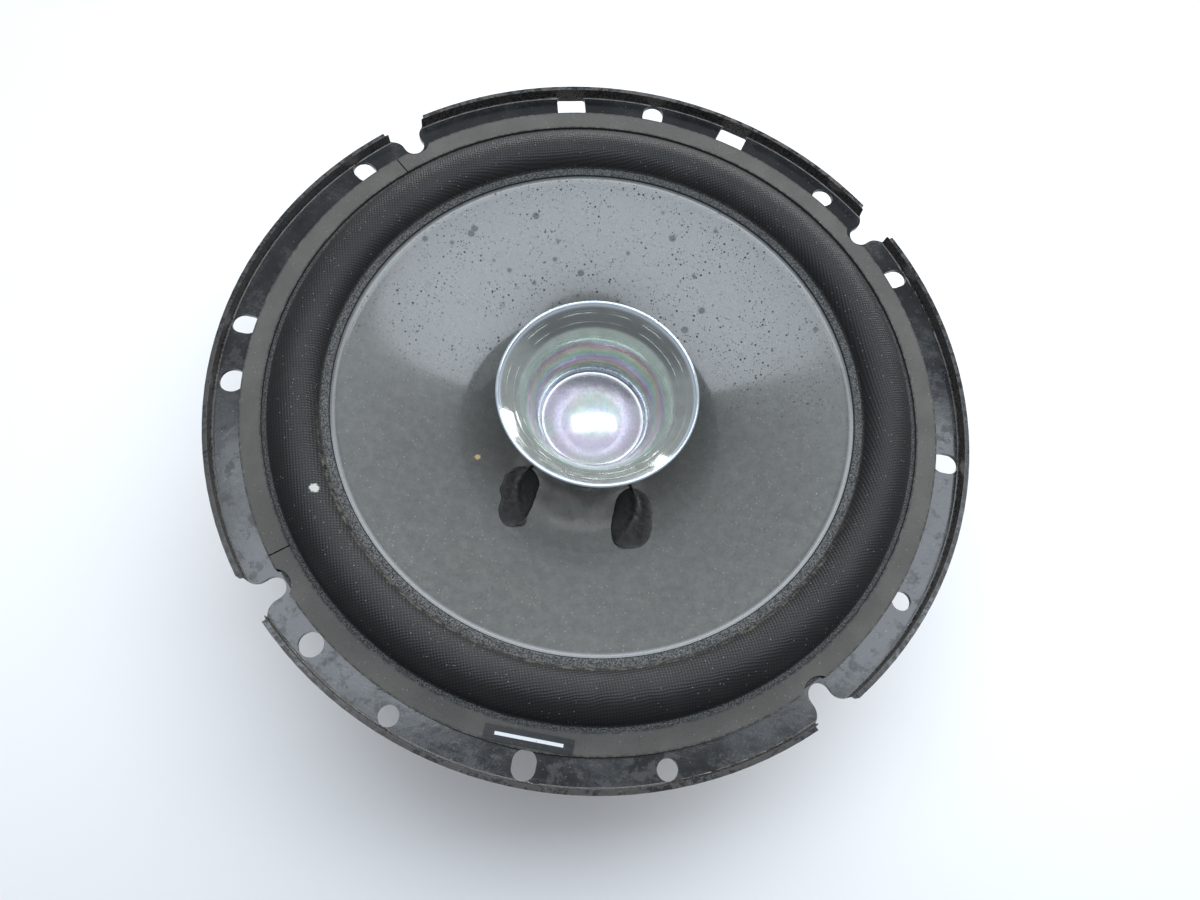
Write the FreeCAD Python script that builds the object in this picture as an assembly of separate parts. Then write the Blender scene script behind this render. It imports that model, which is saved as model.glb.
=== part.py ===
"""Dual-cone car speaker, nominal 17 cm, modelled piece by piece in millimetres.

The origin is the centre of the mounting flange's rear face. +Z points out of the cone,
towards the listener, and +Y points at the locating hole between the two square holes.
"""

import FreeCAD, Part
import math
import os

# basket: one steel stamping
SHEET = 1.0
LIP_BEND_R = 1.4
LIP_R = 82.5
LIP_TOP = 3.7
FLANGE_INNER_R = 63.8
WALL_TOP_R = 61.6
WALL_TOP_Z = -4.0
LEDGE_OUTER_R = 40.4
LEDGE_INNER_R = 33.6
LEDGE_Z = -18.5
FLOOR_Z = -27.5
FLOOR_HOLE_R = 17.0
WINDOW_ANGLES = (0, 90, 180, 270)
WINDOW_HALF_ANGLE = 30.0
WINDOW_INNER_R = 43.5
WINDOW_OUTER_R = 58.5
WINDOW_CORNER_R = 3.0
LEG_ANGLES = (45, 135, 225, 315)
LEG_BEAD_R = 1.9
TONGUE_WIDTH = 9.0
TONGUE_END = 52.0
TONGUE_OVERLAP = 2.0

# openings in the flange, as angles from +X seen from the front
SLOT_ANGLES = (0, 35, 145, 180, 270)
SLOT_INNER_R = 75.4
SLOT_OUTER_R = 81.2
SLOT_WIDTH = 4.65
SQUARE_HOLE_ANGLES = (75, 105)
SQUARE_HOLE_WIDTH = 6.9
SQUARE_HOLE_CORNER_R = 0.6
LOCATING_ANGLE = 90
LOCATING_WIDTH = 5.0
LOCATING_INNER_R = 75.1
LOCATING_OUTER_R = 81.3
LOCATING_NIB_R = 0.9
ROUND_HOLES = (
    # angle, distance from the axis, diameter
    (55, 78.2, 5.0),
    (235, 78.2, 5.0),
    (190, 78.0, 5.4),
    (250, 79.0, 4.2),
    (290, 79.0, 4.2),
    (335, 77.5, 4.1),
)
NOTCH_ANGLES = (45, 135, 225, 315)
NOTCH_BOTTOM_R = 75.3
NOTCH_WIDTH = 4.7
NOTCH_CORNER_R = 3.0

# soft parts at the front
SURROUND_THICKNESS = 0.5
SURROUND_OUTER_R = 75.0
ROLL_OUTER_R = 70.0
ROLL_INNER_R = 59.3
ROLL_TOP = 5.6
LAND_INNER_R = 57.2
CONE_RIM_R = 59.0
CONE_RIM_Z = 1.5
GASKET_INNER_R = 71.2
GASKET_OUTER_R = 75.7
GASKET_THICKNESS = 0.8
GASKET_NOTCH_R = 3.6
GASKET_JOINTS = (139.5, 220.5)
GASKET_JOINT_GAP = 0.3
LABEL_LENGTH = 17.2
LABEL_WIDTH = 2.9
LABEL_THICKNESS = 0.2

# cone and what is glued to it
CONE_THICKNESS = 0.5
CONE_NECK_R = 13.2
CONE_NECK_Z = -15.2
CONE_MID_R = 34.0
CONE_MID_Z = -5.7
WHIZZER_THICKNESS = 0.35
WHIZZER_WAIST_R = 14.6
WHIZZER_WAIST_Z = -4.5
WHIZZER_RIM_R = 22.3
WHIZZER_RIM_Z = 3.1
NECK_BEAD_TOP = -13.8
CAP_R = 11.6
CAP_EDGE_Z = -13.0
CAP_TOP_Z = -8.8
CAP_THICKNESS = 0.35
CAP_RIM_THICKNESS = 0.6
CAP_RIM_OVERLAP = 0.8
FORMER_INNER_R = 12.45
FORMER_OUTER_R = 12.75
FORMER_TOP = -11.6
FORMER_BOTTOM = -34.5
WINDING_OUTER_R = 13.3
WINDING_BOTTOM = -34.2
WINDING_HEIGHT = 9.0
DAB_CENTRE_X = 12.8
DAB_CENTRE_Y = -23.4
DAB_HALF_WIDTH = 5.0
DAB_HALF_LENGTH = 8.3
DAB_HEIGHT = 1.3
EYELET_X = 11.3
EYELET_Y = -29.4
EYELET_R = 0.95
EYELET_FLANGE_R = 1.6
EYELET_FLANGE = 0.3
COIL_LEAD_R = 0.3

# spider
SPIDER_THICKNESS = 0.4
SPIDER_OUTER_R = 39.4
SPIDER_ROLLS_OUTER_R = 34.6
SPIDER_ROLLS_INNER_R = 15.4
SPIDER_ROLL_COUNT = 5
SPIDER_ROLL_HEIGHT = 0.95

# motor
TOP_PLATE_R = 30.5
TOP_PLATE_THICKNESS = 4.5
TOP_PLATE_HOLE_R = 13.8
MAGNET_R = 35.0
MAGNET_HOLE_R = 16.5
MAGNET_THICKNESS = 12.0
BACK_PLATE_R = 31.5
BACK_PLATE_THICKNESS = 5.0
POLE_R = 11.9
POLE_TOP = -27.0
VENT_R = 4.0
EDGE_CHAMFER = 0.8
REAR_RECESS_R = 20.0
REAR_RECESS_DEPTH = 0.4
REAR_LABEL_R = 18.5
REAR_LABEL_HOLE_R = 6.0
REAR_LABEL_THICKNESS = 0.2
MOTOR_RIVET_CIRCLE_R = 24.0
MOTOR_RIVET_ANGLES = (45, 135, 225, 315)
MOTOR_RIVET_R = 2.0
MOTOR_RIVET_HEAD_R = 3.2
MOTOR_RIVET_HEAD = 1.0
MOTOR_RIVET_DEPTH = 3.0

# terminals, on the tongue that the basket's -Y window leaves
BOARD_WIDTH = 26.0
BOARD_NEAR_Y = -42.2
BOARD_FAR_Y = -55.0
BOARD_THICKNESS = 1.6
BOARD_CORNER_R = 1.5
BOARD_CLEARANCE = 0.6
WINDOW_SILL = 8.0
TAB_X = 8.2
TAB_NEAR_Y = -43.4
TAB_FAR_Y = -62.0
TAB_THICKNESS = 0.8
TAB_TIP_CHAMFER = 1.0
TAB_HOLE_R = 0.8
TAB_HOLE_INSET = 3.2
POSITIVE_TAB_WIDTH = 6.3
NEGATIVE_TAB_WIDTH = 4.8
TAB_RIVET_Y = -50.0
BOARD_RIVET_Y = -47.5
RIVET_R = 1.25
RIVET_HEAD_R = 2.1
RIVET_HEAD = 0.7
SOLDER_Y = -45.3
SOLDER_R = 1.7
SOLDER_HEIGHT = 1.5
TINSEL_R = 0.6

BOARD_TOP = LEDGE_Z + SHEET + BOARD_THICKNESS
TAB_TOP = BOARD_TOP + TAB_THICKNESS
TOP_PLATE_BOTTOM = FLOOR_Z - TOP_PLATE_THICKNESS
MAGNET_BOTTOM = TOP_PLATE_BOTTOM - MAGNET_THICKNESS
REAR_Z = MAGNET_BOTTOM - BACK_PLATE_THICKNESS
# how far a cutter stands past what it cuts, and how high it reaches into the lip's bend
OVER = 1.0
HOLE_TOP = SHEET + 0.6
AXIS = FreeCAD.Vector(0, 0, 1)
ORIGIN = FreeCAD.Vector(0, 0, 0)


def vec(x, y, z=0.0):
    return FreeCAD.Vector(x, y, z)


def section_point(point):
    """A point (radius, height) of a section, in the XZ plane."""
    return vec(point[0], 0, point[1])


def line_intersection(p, d, q, e):
    """Where the line through p along d meets the line through q along e."""
    cross = d[0] * e[1] - d[1] * e[0]
    s = ((q[0] - p[0]) * e[1] - (q[1] - p[1]) * e[0]) / cross
    return (p[0] + d[0] * s, p[1] + d[1] * s)


def unit(p, q):
    length = math.hypot(q[0] - p[0], q[1] - p[1])
    return ((q[0] - p[0]) / length, (q[1] - p[1]) / length)


def offset_points(points, distance):
    """The polyline's points moved sideways by distance, to the right of its direction."""
    runs = [unit(p, q) for p, q in zip(points, points[1:])]
    moved = [(p[0] + d[1] * distance, p[1] - d[0] * distance) for p, d in zip(points, runs)]
    result = [moved[0]]
    for i in range(1, len(runs)):
        result.append(line_intersection(moved[i - 1], runs[i - 1], moved[i], runs[i]))
    last = points[-1]
    result.append((last[0] + runs[-1][1] * distance, last[1] - runs[-1][0] * distance))
    return result


def rounded_edges(points, radii, place=section_point):
    """Straight edges through points, with an arc of the given radius at each inner point."""
    edges = []
    start = points[0]
    for i, radius in enumerate(radii, start=1):
        before = unit(points[i], points[i - 1])
        after = unit(points[i], points[i + 1])
        half = math.acos(before[0] * after[0] + before[1] * after[1]) / 2
        cut = radius / math.tan(half)
        first = (points[i][0] + before[0] * cut, points[i][1] + before[1] * cut)
        last = (points[i][0] + after[0] * cut, points[i][1] + after[1] * cut)
        middle_x = before[0] + after[0]
        middle_y = before[1] + after[1]
        reach = (radius / math.sin(half) - radius) / math.hypot(middle_x, middle_y)
        middle = (points[i][0] + middle_x * reach, points[i][1] + middle_y * reach)
        edges.append(Part.LineSegment(place(start), place(first)).toShape())
        edges.append(Part.Arc(place(first), place(middle), place(last)).toShape())
        start = last
    edges.append(Part.LineSegment(place(start), place(points[-1])).toShape())
    return edges


def turned(edges):
    """The solid of revolution about Z of the closed section that edges go round."""
    wire = Part.Wire(Part.__sortEdges__(edges))
    return Part.Face(wire).revolve(ORIGIN, AXIS, 360)


def turned_polygon(points):
    corners = [section_point(p) for p in points]
    return Part.Face(Part.makePolygon(corners + corners[:1])).revolve(ORIGIN, AXIS, 360)


def ring(inner, outer, bottom, top, chamfer=0.0):
    """A flat ring, with its outer edges chamfered."""
    points = [
        (inner, bottom),
        (outer - chamfer, bottom),
        (outer, bottom + chamfer),
        (outer, top - chamfer),
        (outer - chamfer, top),
        (inner, top),
    ]
    if not chamfer:
        points = [points[0], points[2], points[3], points[5]]
    return turned_polygon(points)


def sheet_turned(points, radii, thickness):
    """A turned shell: points run along its rear face, and it is as thick as said to their right."""
    other = offset_points(points, thickness)
    other_radii = []
    for i, radius in enumerate(radii, start=1):
        before = unit(points[i - 1], points[i])
        after = unit(points[i], points[i + 1])
        right_turn = before[0] * after[1] - before[1] * after[0] < 0
        other_radii.append(radius - thickness if right_turn else radius + thickness)
    edges = rounded_edges(points, radii) + rounded_edges(other, other_radii)
    for a, b in ((points[0], other[0]), (points[-1], other[-1])):
        edges.append(Part.LineSegment(section_point(a), section_point(b)).toShape())
    return turned(edges)


def around(shape, angle):
    """A copy of shape turned about Z."""
    copy = shape.copy()
    copy.rotate(ORIGIN, AXIS, angle)
    return copy


def extruded(edges, bottom, top):
    """A flat outline drawn in the XY plane, made a solid between two heights."""
    face = Part.Face(Part.Wire(Part.__sortEdges__(edges)))
    face.translate(vec(0, 0, bottom))
    return face.extrude(vec(0, 0, top - bottom))


def round_rod(radius, x, y, bottom, top):
    return Part.makeCylinder(radius, top - bottom, vec(x, y, bottom))


def radial_slot(inner, outer, width, bottom, top):
    """A slot with round ends, along +X."""
    half = width / 2
    body = Part.makeBox(outer - inner - width, width, top - bottom, vec(inner + half, -half, bottom))
    ends = [round_rod(half, x, 0, bottom, top) for x in (inner + half, outer - half)]
    return body.fuse(ends).removeSplitter()


def circle_through(a, b, c):
    """Centre and radius of the circle through three section points."""
    mid_ab = ((a[0] + b[0]) / 2, (a[1] + b[1]) / 2)
    mid_bc = ((b[0] + c[0]) / 2, (b[1] + c[1]) / 2)
    ab = unit(a, b)
    bc = unit(b, c)
    centre = line_intersection(mid_ab, (-ab[1], ab[0]), mid_bc, (-bc[1], bc[0]))
    return centre, math.hypot(a[0] - centre[0], a[1] - centre[1])


CONE_CENTRE, CONE_CURVE_R = circle_through(
    (CONE_NECK_R, CONE_NECK_Z), (CONE_MID_R, CONE_MID_Z), (LAND_INNER_R, CONE_RIM_Z)
)


def cone_height(radius, offset=0.0):
    """Height of the cone's front face at a radius, or of a face offset in front of it."""
    reach = CONE_CURVE_R + offset
    return CONE_CENTRE[1] + math.sqrt(reach * reach - (radius - CONE_CENTRE[0]) ** 2)


def cone_arc(offset, inner, outer):
    """An arc beside the cone's front face, between two radii."""
    ends = [(r, cone_height(r, offset)) for r in (inner, (inner + outer) / 2, outer)]
    return Part.Arc(*[section_point(p) for p in ends]).toShape(), ends[0], ends[-1]


def segment(a, b):
    return Part.LineSegment(section_point(a), section_point(b)).toShape()


def upright_edges(shape):
    return [e for e in shape.Edges if abs(e.tangentAt(e.FirstParameter).z) > 0.99]


# ---------------------------------------------------------------- basket


def window_cutter(angle):
    """The outline of one basket window, a sector with rounded corners."""
    bottom = LEDGE_Z + SHEET + 0.2
    top = WALL_TOP_Z + SHEET + OVER
    outer = Part.makeCylinder(WINDOW_OUTER_R, top - bottom, vec(0, 0, bottom), AXIS, 2 * WINDOW_HALF_ANGLE)
    inner = Part.makeCylinder(WINDOW_INNER_R, top - bottom, vec(0, 0, bottom))
    opening = around(outer.cut(inner), -WINDOW_HALF_ANGLE)
    return around(opening.makeFillet(WINDOW_CORNER_R, upright_edges(opening)), angle)


def notch_cutter(angle):
    """A rounded notch that widens into the lip, cut from the flange's edge."""
    low = -OVER
    high = LIP_TOP + OVER
    mouth = NOTCH_WIDTH / 2 + NOTCH_CORNER_R
    flare_r = LIP_R - SHEET - NOTCH_CORNER_R
    flare = []
    for side in (1, -1):
        corner = vec(flare_r, min(0, side * mouth), low)
        block = Part.makeBox(LIP_R + OVER - flare_r, mouth, high - low, corner)
        post = round_rod(NOTCH_CORNER_R, flare_r, side * mouth, low, high)
        flare.append(block.cut(post))
    slot = radial_slot(NOTCH_BOTTOM_R, LIP_R + 2 * NOTCH_WIDTH, NOTCH_WIDTH, low, high)
    return around(slot.fuse(flare), angle)


def locating_cutter():
    """A slot with a small nib standing into its inner end."""
    slot = radial_slot(LOCATING_INNER_R, LOCATING_OUTER_R, LOCATING_WIDTH, -OVER, HOLE_TOP)
    nib = round_rod(LOCATING_NIB_R, LOCATING_INNER_R, 0, -OVER, HOLE_TOP)
    return around(slot.cut(nib), LOCATING_ANGLE)


def square_hole_cutter(angle):
    length = SLOT_OUTER_R - SLOT_INNER_R
    corner = vec(SLOT_INNER_R, -SQUARE_HOLE_WIDTH / 2, -OVER)
    box = Part.makeBox(length, SQUARE_HOLE_WIDTH, HOLE_TOP + OVER, corner)
    return around(box.makeFillet(SQUARE_HOLE_CORNER_R, upright_edges(box)), angle)


def leg_bead(angle):
    """A stiffening bead pressed along one leg."""
    start = vec(LEDGE_OUTER_R + 3.0, 0, LEDGE_Z + 2.0)
    end = vec(WALL_TOP_R - 2.5, 0, WALL_TOP_Z - 1.4)
    run = end - start
    rod = Part.makeCylinder(LEG_BEAD_R, run.Length, start, run)
    balls = [Part.makeSphere(LEG_BEAD_R, p) for p in (start, end)]
    return around(rod.fuse(balls).removeSplitter(), angle)


def board_seat_cutter():
    """Clears the -Y window's lower edge away where the terminal board lies across it."""
    half = BOARD_WIDTH / 2 + BOARD_CLEARANCE
    near = BOARD_NEAR_Y + BOARD_CLEARANCE
    depth = BOARD_NEAR_Y - BOARD_FAR_Y
    return Part.makeBox(2 * half, depth, WINDOW_SILL, vec(-half, near - depth, LEDGE_Z - OVER))


def tongue():
    """The flat tongue under the -Y window that carries the terminal board."""
    half = TONGUE_WIDTH / 2
    length = TONGUE_END - half - LEDGE_OUTER_R + TONGUE_OVERLAP
    bar = Part.makeBox(TONGUE_WIDTH, length, SHEET, vec(-half, -TONGUE_END + half, LEDGE_Z))
    nose = round_rod(half, 0, -TONGUE_END + half, LEDGE_Z, LEDGE_Z + SHEET)
    return bar.fuse(nose).removeSplitter()


def basket():
    rear_face = [
        (LIP_R, LIP_TOP),
        (LIP_R - 0.1, 0),
        (FLANGE_INNER_R, 0),
        (WALL_TOP_R, WALL_TOP_Z),
        (LEDGE_OUTER_R, LEDGE_Z),
        (LEDGE_INNER_R, LEDGE_Z),
        (LEDGE_INNER_R - 1.0, FLOOR_Z),
        (FLOOR_HOLE_R, FLOOR_Z),
    ]
    bend_radii = [LIP_BEND_R, 1.0, 3.0, 1.2, 1.0, 2.2]
    shell = sheet_turned(rear_face, bend_radii, SHEET)
    shell = shell.fuse([leg_bead(a) for a in LEG_ANGLES])
    shell = shell.cut([window_cutter(a) for a in WINDOW_ANGLES] + [board_seat_cutter()])
    shell = shell.fuse(tongue())
    cutters = [around(round_rod(d / 2, r, 0, -OVER, SHEET + OVER), a) for a, r, d in ROUND_HOLES]
    cutters += [notch_cutter(a) for a in NOTCH_ANGLES]
    slot = radial_slot(SLOT_INNER_R, SLOT_OUTER_R, SLOT_WIDTH, -OVER, HOLE_TOP)
    cutters += [around(slot, a) for a in SLOT_ANGLES]
    cutters += [square_hole_cutter(a) for a in SQUARE_HOLE_ANGLES]
    cutters.append(locating_cutter())
    for angle in MOTOR_RIVET_ANGLES:
        hole = round_rod(MOTOR_RIVET_R, MOTOR_RIVET_CIRCLE_R, 0, FLOOR_Z - OVER, FLOOR_Z + SHEET + OVER)
        cutters.append(around(hole, angle))
    cutters.append(round_rod(RIVET_R, 0, BOARD_RIVET_Y, LEDGE_Z - OVER, LEDGE_Z + SHEET + OVER))
    return shell.cut(cutters)


# ---------------------------------------------------------------- front


def surround():
    """Cloth half roll between the flange and the cone's rim."""
    middle_r = (ROLL_OUTER_R + ROLL_INNER_R) / 2
    rise = SURROUND_THICKNESS
    rear = [
        (SURROUND_OUTER_R, SHEET),
        (ROLL_OUTER_R, SHEET),
        (ROLL_INNER_R, CONE_RIM_Z),
        (LAND_INNER_R, CONE_RIM_Z),
    ]
    front = [
        (SURROUND_OUTER_R, SHEET + rise),
        (ROLL_OUTER_R + rise / 2, SHEET + rise),
        (ROLL_INNER_R - rise / 2, CONE_RIM_Z + rise),
        (LAND_INNER_R, CONE_RIM_Z + rise),
    ]
    edges = []
    for points, top in ((rear, ROLL_TOP), (front, ROLL_TOP + rise)):
        crest = section_point((middle_r, top))
        edges.append(segment(points[0], points[1]))
        edges.append(Part.Arc(section_point(points[1]), crest, section_point(points[2])).toShape())
        edges.append(segment(points[2], points[3]))
    edges.append(segment(rear[0], front[0]))
    edges.append(segment(rear[3], front[3]))
    return turned(edges)


def sector(radius, first, last, bottom, top):
    wedge = Part.makeCylinder(radius, top - bottom, vec(0, 0, bottom), AXIS, last - first)
    return around(wedge, first)


def gasket_arcs():
    """The card gasket, in a long arc and a short one that butt together."""
    bottom = SHEET + SURROUND_THICKNESS
    top = bottom + GASKET_THICKNESS
    card = ring(GASKET_INNER_R, GASKET_OUTER_R, bottom, top)
    for angle in NOTCH_ANGLES:
        centre_r = NOTCH_BOTTOM_R + NOTCH_WIDTH / 2
        card = card.cut(around(round_rod(GASKET_NOTCH_R, centre_r, 0, bottom - OVER, top + OVER), angle))
    gap = math.degrees(GASKET_JOINT_GAP / GASKET_OUTER_R) / 2
    first, last = GASKET_JOINTS
    reach = GASKET_OUTER_R + OVER
    short = sector(reach, first + gap, last - gap, bottom - OVER, top + OVER)
    long = sector(reach, last + gap, first - gap + 360, bottom - OVER, top + OVER)
    return card.common(short), card.common(long)


def gasket_label():
    top = SHEET + SURROUND_THICKNESS + GASKET_THICKNESS
    far_y = -math.sqrt(GASKET_OUTER_R ** 2 - (LABEL_LENGTH / 2) ** 2) + 0.1
    return Part.makeBox(LABEL_LENGTH, LABEL_WIDTH, LABEL_THICKNESS, vec(-LABEL_LENGTH / 2, far_y, top))


# ---------------------------------------------------------------- moving assembly


def cone_blank():
    front, neck_front, rim_front = cone_arc(0, CONE_NECK_R, LAND_INNER_R)
    rear, neck_rear, rim_rear = cone_arc(-CONE_THICKNESS, CONE_NECK_R, LAND_INNER_R)
    rim_low = CONE_RIM_Z - CONE_THICKNESS
    edges = [
        front,
        rear,
        segment(neck_front, neck_rear),
        segment(rim_front, (CONE_RIM_R, CONE_RIM_Z)),
        segment((CONE_RIM_R, CONE_RIM_Z), (CONE_RIM_R, rim_low)),
        segment((CONE_RIM_R, rim_low), (LAND_INNER_R, rim_low)),
        segment((LAND_INNER_R, rim_low), rim_rear),
    ]
    return turned(edges)


def across_cone(side):
    """The eyelet's place on the cone's front face, and the way out of the face there."""
    radius = math.hypot(EYELET_X, EYELET_Y)
    place = vec(side * EYELET_X, EYELET_Y, cone_height(radius))
    centre = vec(place.x * CONE_CENTRE[0] / radius, place.y * CONE_CENTRE[0] / radius, CONE_CENTRE[1])
    return place, (place - centre).normalize()


def eyelet_rod(side, radius, behind, ahead):
    """A rod through the cone at an eyelet, from behind its front face to ahead of it."""
    place, out = across_cone(side)
    return Part.makeCylinder(radius, behind + ahead, place - out * behind, out)


def cone():
    return cone_blank().cut([eyelet_rod(side, EYELET_R, 2, 2) for side in (1, -1)])


def eyelets(cone_shape):
    """Tinned eyelets through the cone, where each coil lead meets its tinsel lead."""
    pair = []
    reach = EYELET_FLANGE
    for side in (1, -1):
        shank = eyelet_rod(side, EYELET_R, CONE_THICKNESS + reach, reach)
        front = eyelet_rod(side, EYELET_FLANGE_R, 0.1, reach)
        rear = eyelet_rod(side, EYELET_FLANGE_R, CONE_THICKNESS + reach, -CONE_THICKNESS + 0.1)
        pair.append(shank.fuse([front, rear]).cut(cone_shape).removeSplitter())
    return Part.makeCompound([max(p.Solids, key=lambda s: s.Volume) for p in pair])


def whizzer():
    """The clear flared cup glued on the coil former, which carries the high notes."""
    edges = []
    ends = []
    for step in (0, WHIZZER_THICKNESS):
        foot = (FORMER_OUTER_R + step, NECK_BEAD_TOP)
        collar = (FORMER_OUTER_R + step, FORMER_TOP)
        waist = (WHIZZER_WAIST_R + step, WHIZZER_WAIST_Z)
        rim = (WHIZZER_RIM_R - WHIZZER_THICKNESS + step, WHIZZER_RIM_Z)
        flare = Part.BSplineCurve()
        flare.interpolate(
            Points=[section_point(p) for p in (collar, waist, rim)],
            InitialTangent=vec(0, 0, 1),
            FinalTangent=vec(1, 0, 0.75),
        )
        edges += [segment(foot, collar), flare.toShape()]
        ends.append((foot, rim))
    edges += [segment(ends[0][0], ends[1][0]), segment(ends[0][1], ends[1][1])]
    return turned(edges)


def dust_cap():
    """A domed cap with a flat rim that fits inside the former."""
    rise = CAP_TOP_Z - CAP_EDGE_Z
    dome_r = (CAP_R ** 2 + rise ** 2) / (2 * rise)
    centre = vec(0, 0, CAP_TOP_Z - dome_r)
    shell = Part.makeSphere(dome_r, centre).cut(Part.makeSphere(dome_r - CAP_THICKNESS, centre))
    shell = shell.common(round_rod(CAP_R, 0, 0, CAP_EDGE_Z - CAP_THICKNESS / 2, CAP_TOP_Z + OVER))
    rim = ring(CAP_R - CAP_RIM_OVERLAP, FORMER_INNER_R, CAP_EDGE_Z - CAP_RIM_THICKNESS, CAP_EDGE_Z)
    return shell.fuse(rim).removeSplitter()


def neck_adhesive(cone_shape):
    """The bead that joins the cone's neck to the coil former."""
    low = cone_height(CONE_NECK_R, -CONE_THICKNESS) - 0.7
    outer = CONE_NECK_R + 1.9
    points = [
        (FORMER_OUTER_R, low),
        (CONE_NECK_R, low),
        (outer, cone_height(outer)),
        (FORMER_OUTER_R, NECK_BEAD_TOP),
    ]
    bead = turned_polygon(points).cut(cone_shape)
    return max(bead.Solids, key=lambda s: s.Volume)


def coil_lead(side):
    """A coil end, lying on the cone from its neck to the eyelet."""
    lift = COIL_LEAD_R + 0.08
    points = []
    for x, y in ((9.6, -12.6), (13.2, -20.5), (EYELET_X + 0.6, EYELET_Y + 2.6)):
        points.append(vec(side * x, y, cone_height(math.hypot(x, y), lift)))
    path = Part.Wire(Part.Arc(*points).toShape())
    tangent = path.Edges[0].tangentAt(path.Edges[0].FirstParameter)
    circle = Part.Circle(points[0], tangent, COIL_LEAD_R).toShape()
    return path.makePipeShell([Part.Wire(circle)], True, True)


def glue_dab(side, lead, eyelet_pair):
    """Black glue over a coil lead and its eyelet."""
    low, low_in, low_out = cone_arc(0, CONE_NECK_R + 3.4, 42)
    high, high_in, high_out = cone_arc(DAB_HEIGHT, CONE_NECK_R + 3.4, 42)
    layer = turned([low, high, segment(low_in, high_in), segment(low_out, high_out)])
    outline = Part.Ellipse(vec(0, 0, 0), DAB_HALF_LENGTH, DAB_HALF_WIDTH).toShape()
    post = Part.Face(Part.Wire(outline)).extrude(vec(0, 0, 30))
    post.rotate(ORIGIN, AXIS, 90)
    post.translate(vec(side * DAB_CENTRE_X, DAB_CENTRE_Y, -20))
    dab = layer.common(post).cut([lead, eyelet_pair])
    return max(dab.Solids, key=lambda s: s.Volume)


# ---------------------------------------------------------------- spider and motor


def spider():
    """Corrugated cloth ring that centres the coil."""
    base = LEDGE_Z + SHEET
    steps = 2 * SPIDER_ROLL_COUNT
    pitch = (SPIDER_ROLLS_OUTER_R - SPIDER_ROLLS_INNER_R) / steps
    rear = [(SPIDER_OUTER_R, base), (SPIDER_ROLLS_OUTER_R, base)]
    for i in range(steps):
        height = base + (SPIDER_ROLL_HEIGHT if i % 2 == 0 else -SPIDER_ROLL_HEIGHT)
        rear.append((SPIDER_ROLLS_OUTER_R - pitch * (i + 0.5), height))
    rear += [(SPIDER_ROLLS_INNER_R, base), (FORMER_OUTER_R, base)]
    radii = [0.5] + [0.9] * steps + [0.5]
    return sheet_turned(rear, radii, SPIDER_THICKNESS)


def top_plate():
    plate = ring(TOP_PLATE_HOLE_R, TOP_PLATE_R, TOP_PLATE_BOTTOM, FLOOR_Z, EDGE_CHAMFER)
    hole = round_rod(MOTOR_RIVET_R, MOTOR_RIVET_CIRCLE_R, 0, FLOOR_Z - MOTOR_RIVET_DEPTH, FLOOR_Z + OVER)
    return plate.cut([around(hole, a) for a in MOTOR_RIVET_ANGLES])


def yoke():
    """Back plate and vented pole in one forging, with a shallow recess behind for the label."""
    plate = ring(0, BACK_PLATE_R, REAR_Z, MAGNET_BOTTOM, EDGE_CHAMFER)
    pole = round_rod(POLE_R, 0, 0, MAGNET_BOTTOM, POLE_TOP)
    tip = [e for e in pole.Edges if abs(e.BoundBox.ZMin - POLE_TOP) < 1e-6]
    pole = pole.makeChamfer(0.6, tip)
    recess = round_rod(REAR_RECESS_R, 0, 0, REAR_Z - OVER, REAR_Z + REAR_RECESS_DEPTH)
    vent = round_rod(VENT_R, 0, 0, REAR_Z - OVER, POLE_TOP + OVER)
    return plate.fuse(pole).cut([recess, vent]).removeSplitter()


def motor_rivets():
    """Four rivets that hold the basket's floor on the top plate."""
    head_z = FLOOR_Z + SHEET
    rivet = round_rod(MOTOR_RIVET_R, MOTOR_RIVET_CIRCLE_R, 0, FLOOR_Z - MOTOR_RIVET_DEPTH, head_z)
    head = round_rod(MOTOR_RIVET_HEAD_R, MOTOR_RIVET_CIRCLE_R, 0, head_z, head_z + MOTOR_RIVET_HEAD)
    rim = [e for e in head.Edges if abs(e.BoundBox.ZMin - head_z - MOTOR_RIVET_HEAD) < 1e-6]
    rivet = rivet.fuse(head.makeFillet(0.6, rim)).removeSplitter()
    return Part.makeCompound([around(rivet, a) for a in MOTOR_RIVET_ANGLES])


# ---------------------------------------------------------------- terminals


def terminal_board():
    depth = BOARD_NEAR_Y - BOARD_FAR_Y
    corner = vec(-BOARD_WIDTH / 2, BOARD_FAR_Y, LEDGE_Z + SHEET)
    board = Part.makeBox(BOARD_WIDTH, depth, BOARD_THICKNESS, corner)
    board = board.makeFillet(BOARD_CORNER_R, upright_edges(board))
    holes = [(0, BOARD_RIVET_Y), (TAB_X, TAB_RIVET_Y), (-TAB_X, TAB_RIVET_Y)]
    return board.cut([round_rod(RIVET_R, x, y, LEDGE_Z, BOARD_TOP + OVER) for x, y in holes])


def terminal_tab(side, width):
    """A push-on tab, with a narrowed tip and a hole near its end."""
    half = width / 2
    tip = TAB_TIP_CHAMFER
    outline = [
        (-half, TAB_NEAR_Y),
        (half, TAB_NEAR_Y),
        (half, TAB_FAR_Y + tip),
        (half - tip, TAB_FAR_Y),
        (-half + tip, TAB_FAR_Y),
        (-half, TAB_FAR_Y + tip),
    ]
    corners = [vec(side * TAB_X + x, y, BOARD_TOP) for x, y in outline]
    tab = Part.Face(Part.makePolygon(corners + corners[:1])).extrude(vec(0, 0, TAB_THICKNESS))
    holes = [(RIVET_R, TAB_RIVET_Y), (TAB_HOLE_R, TAB_FAR_Y + TAB_HOLE_INSET)]
    return tab.cut([round_rod(r, side * TAB_X, y, BOARD_TOP - OVER, TAB_TOP + OVER) for r, y in holes])


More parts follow.
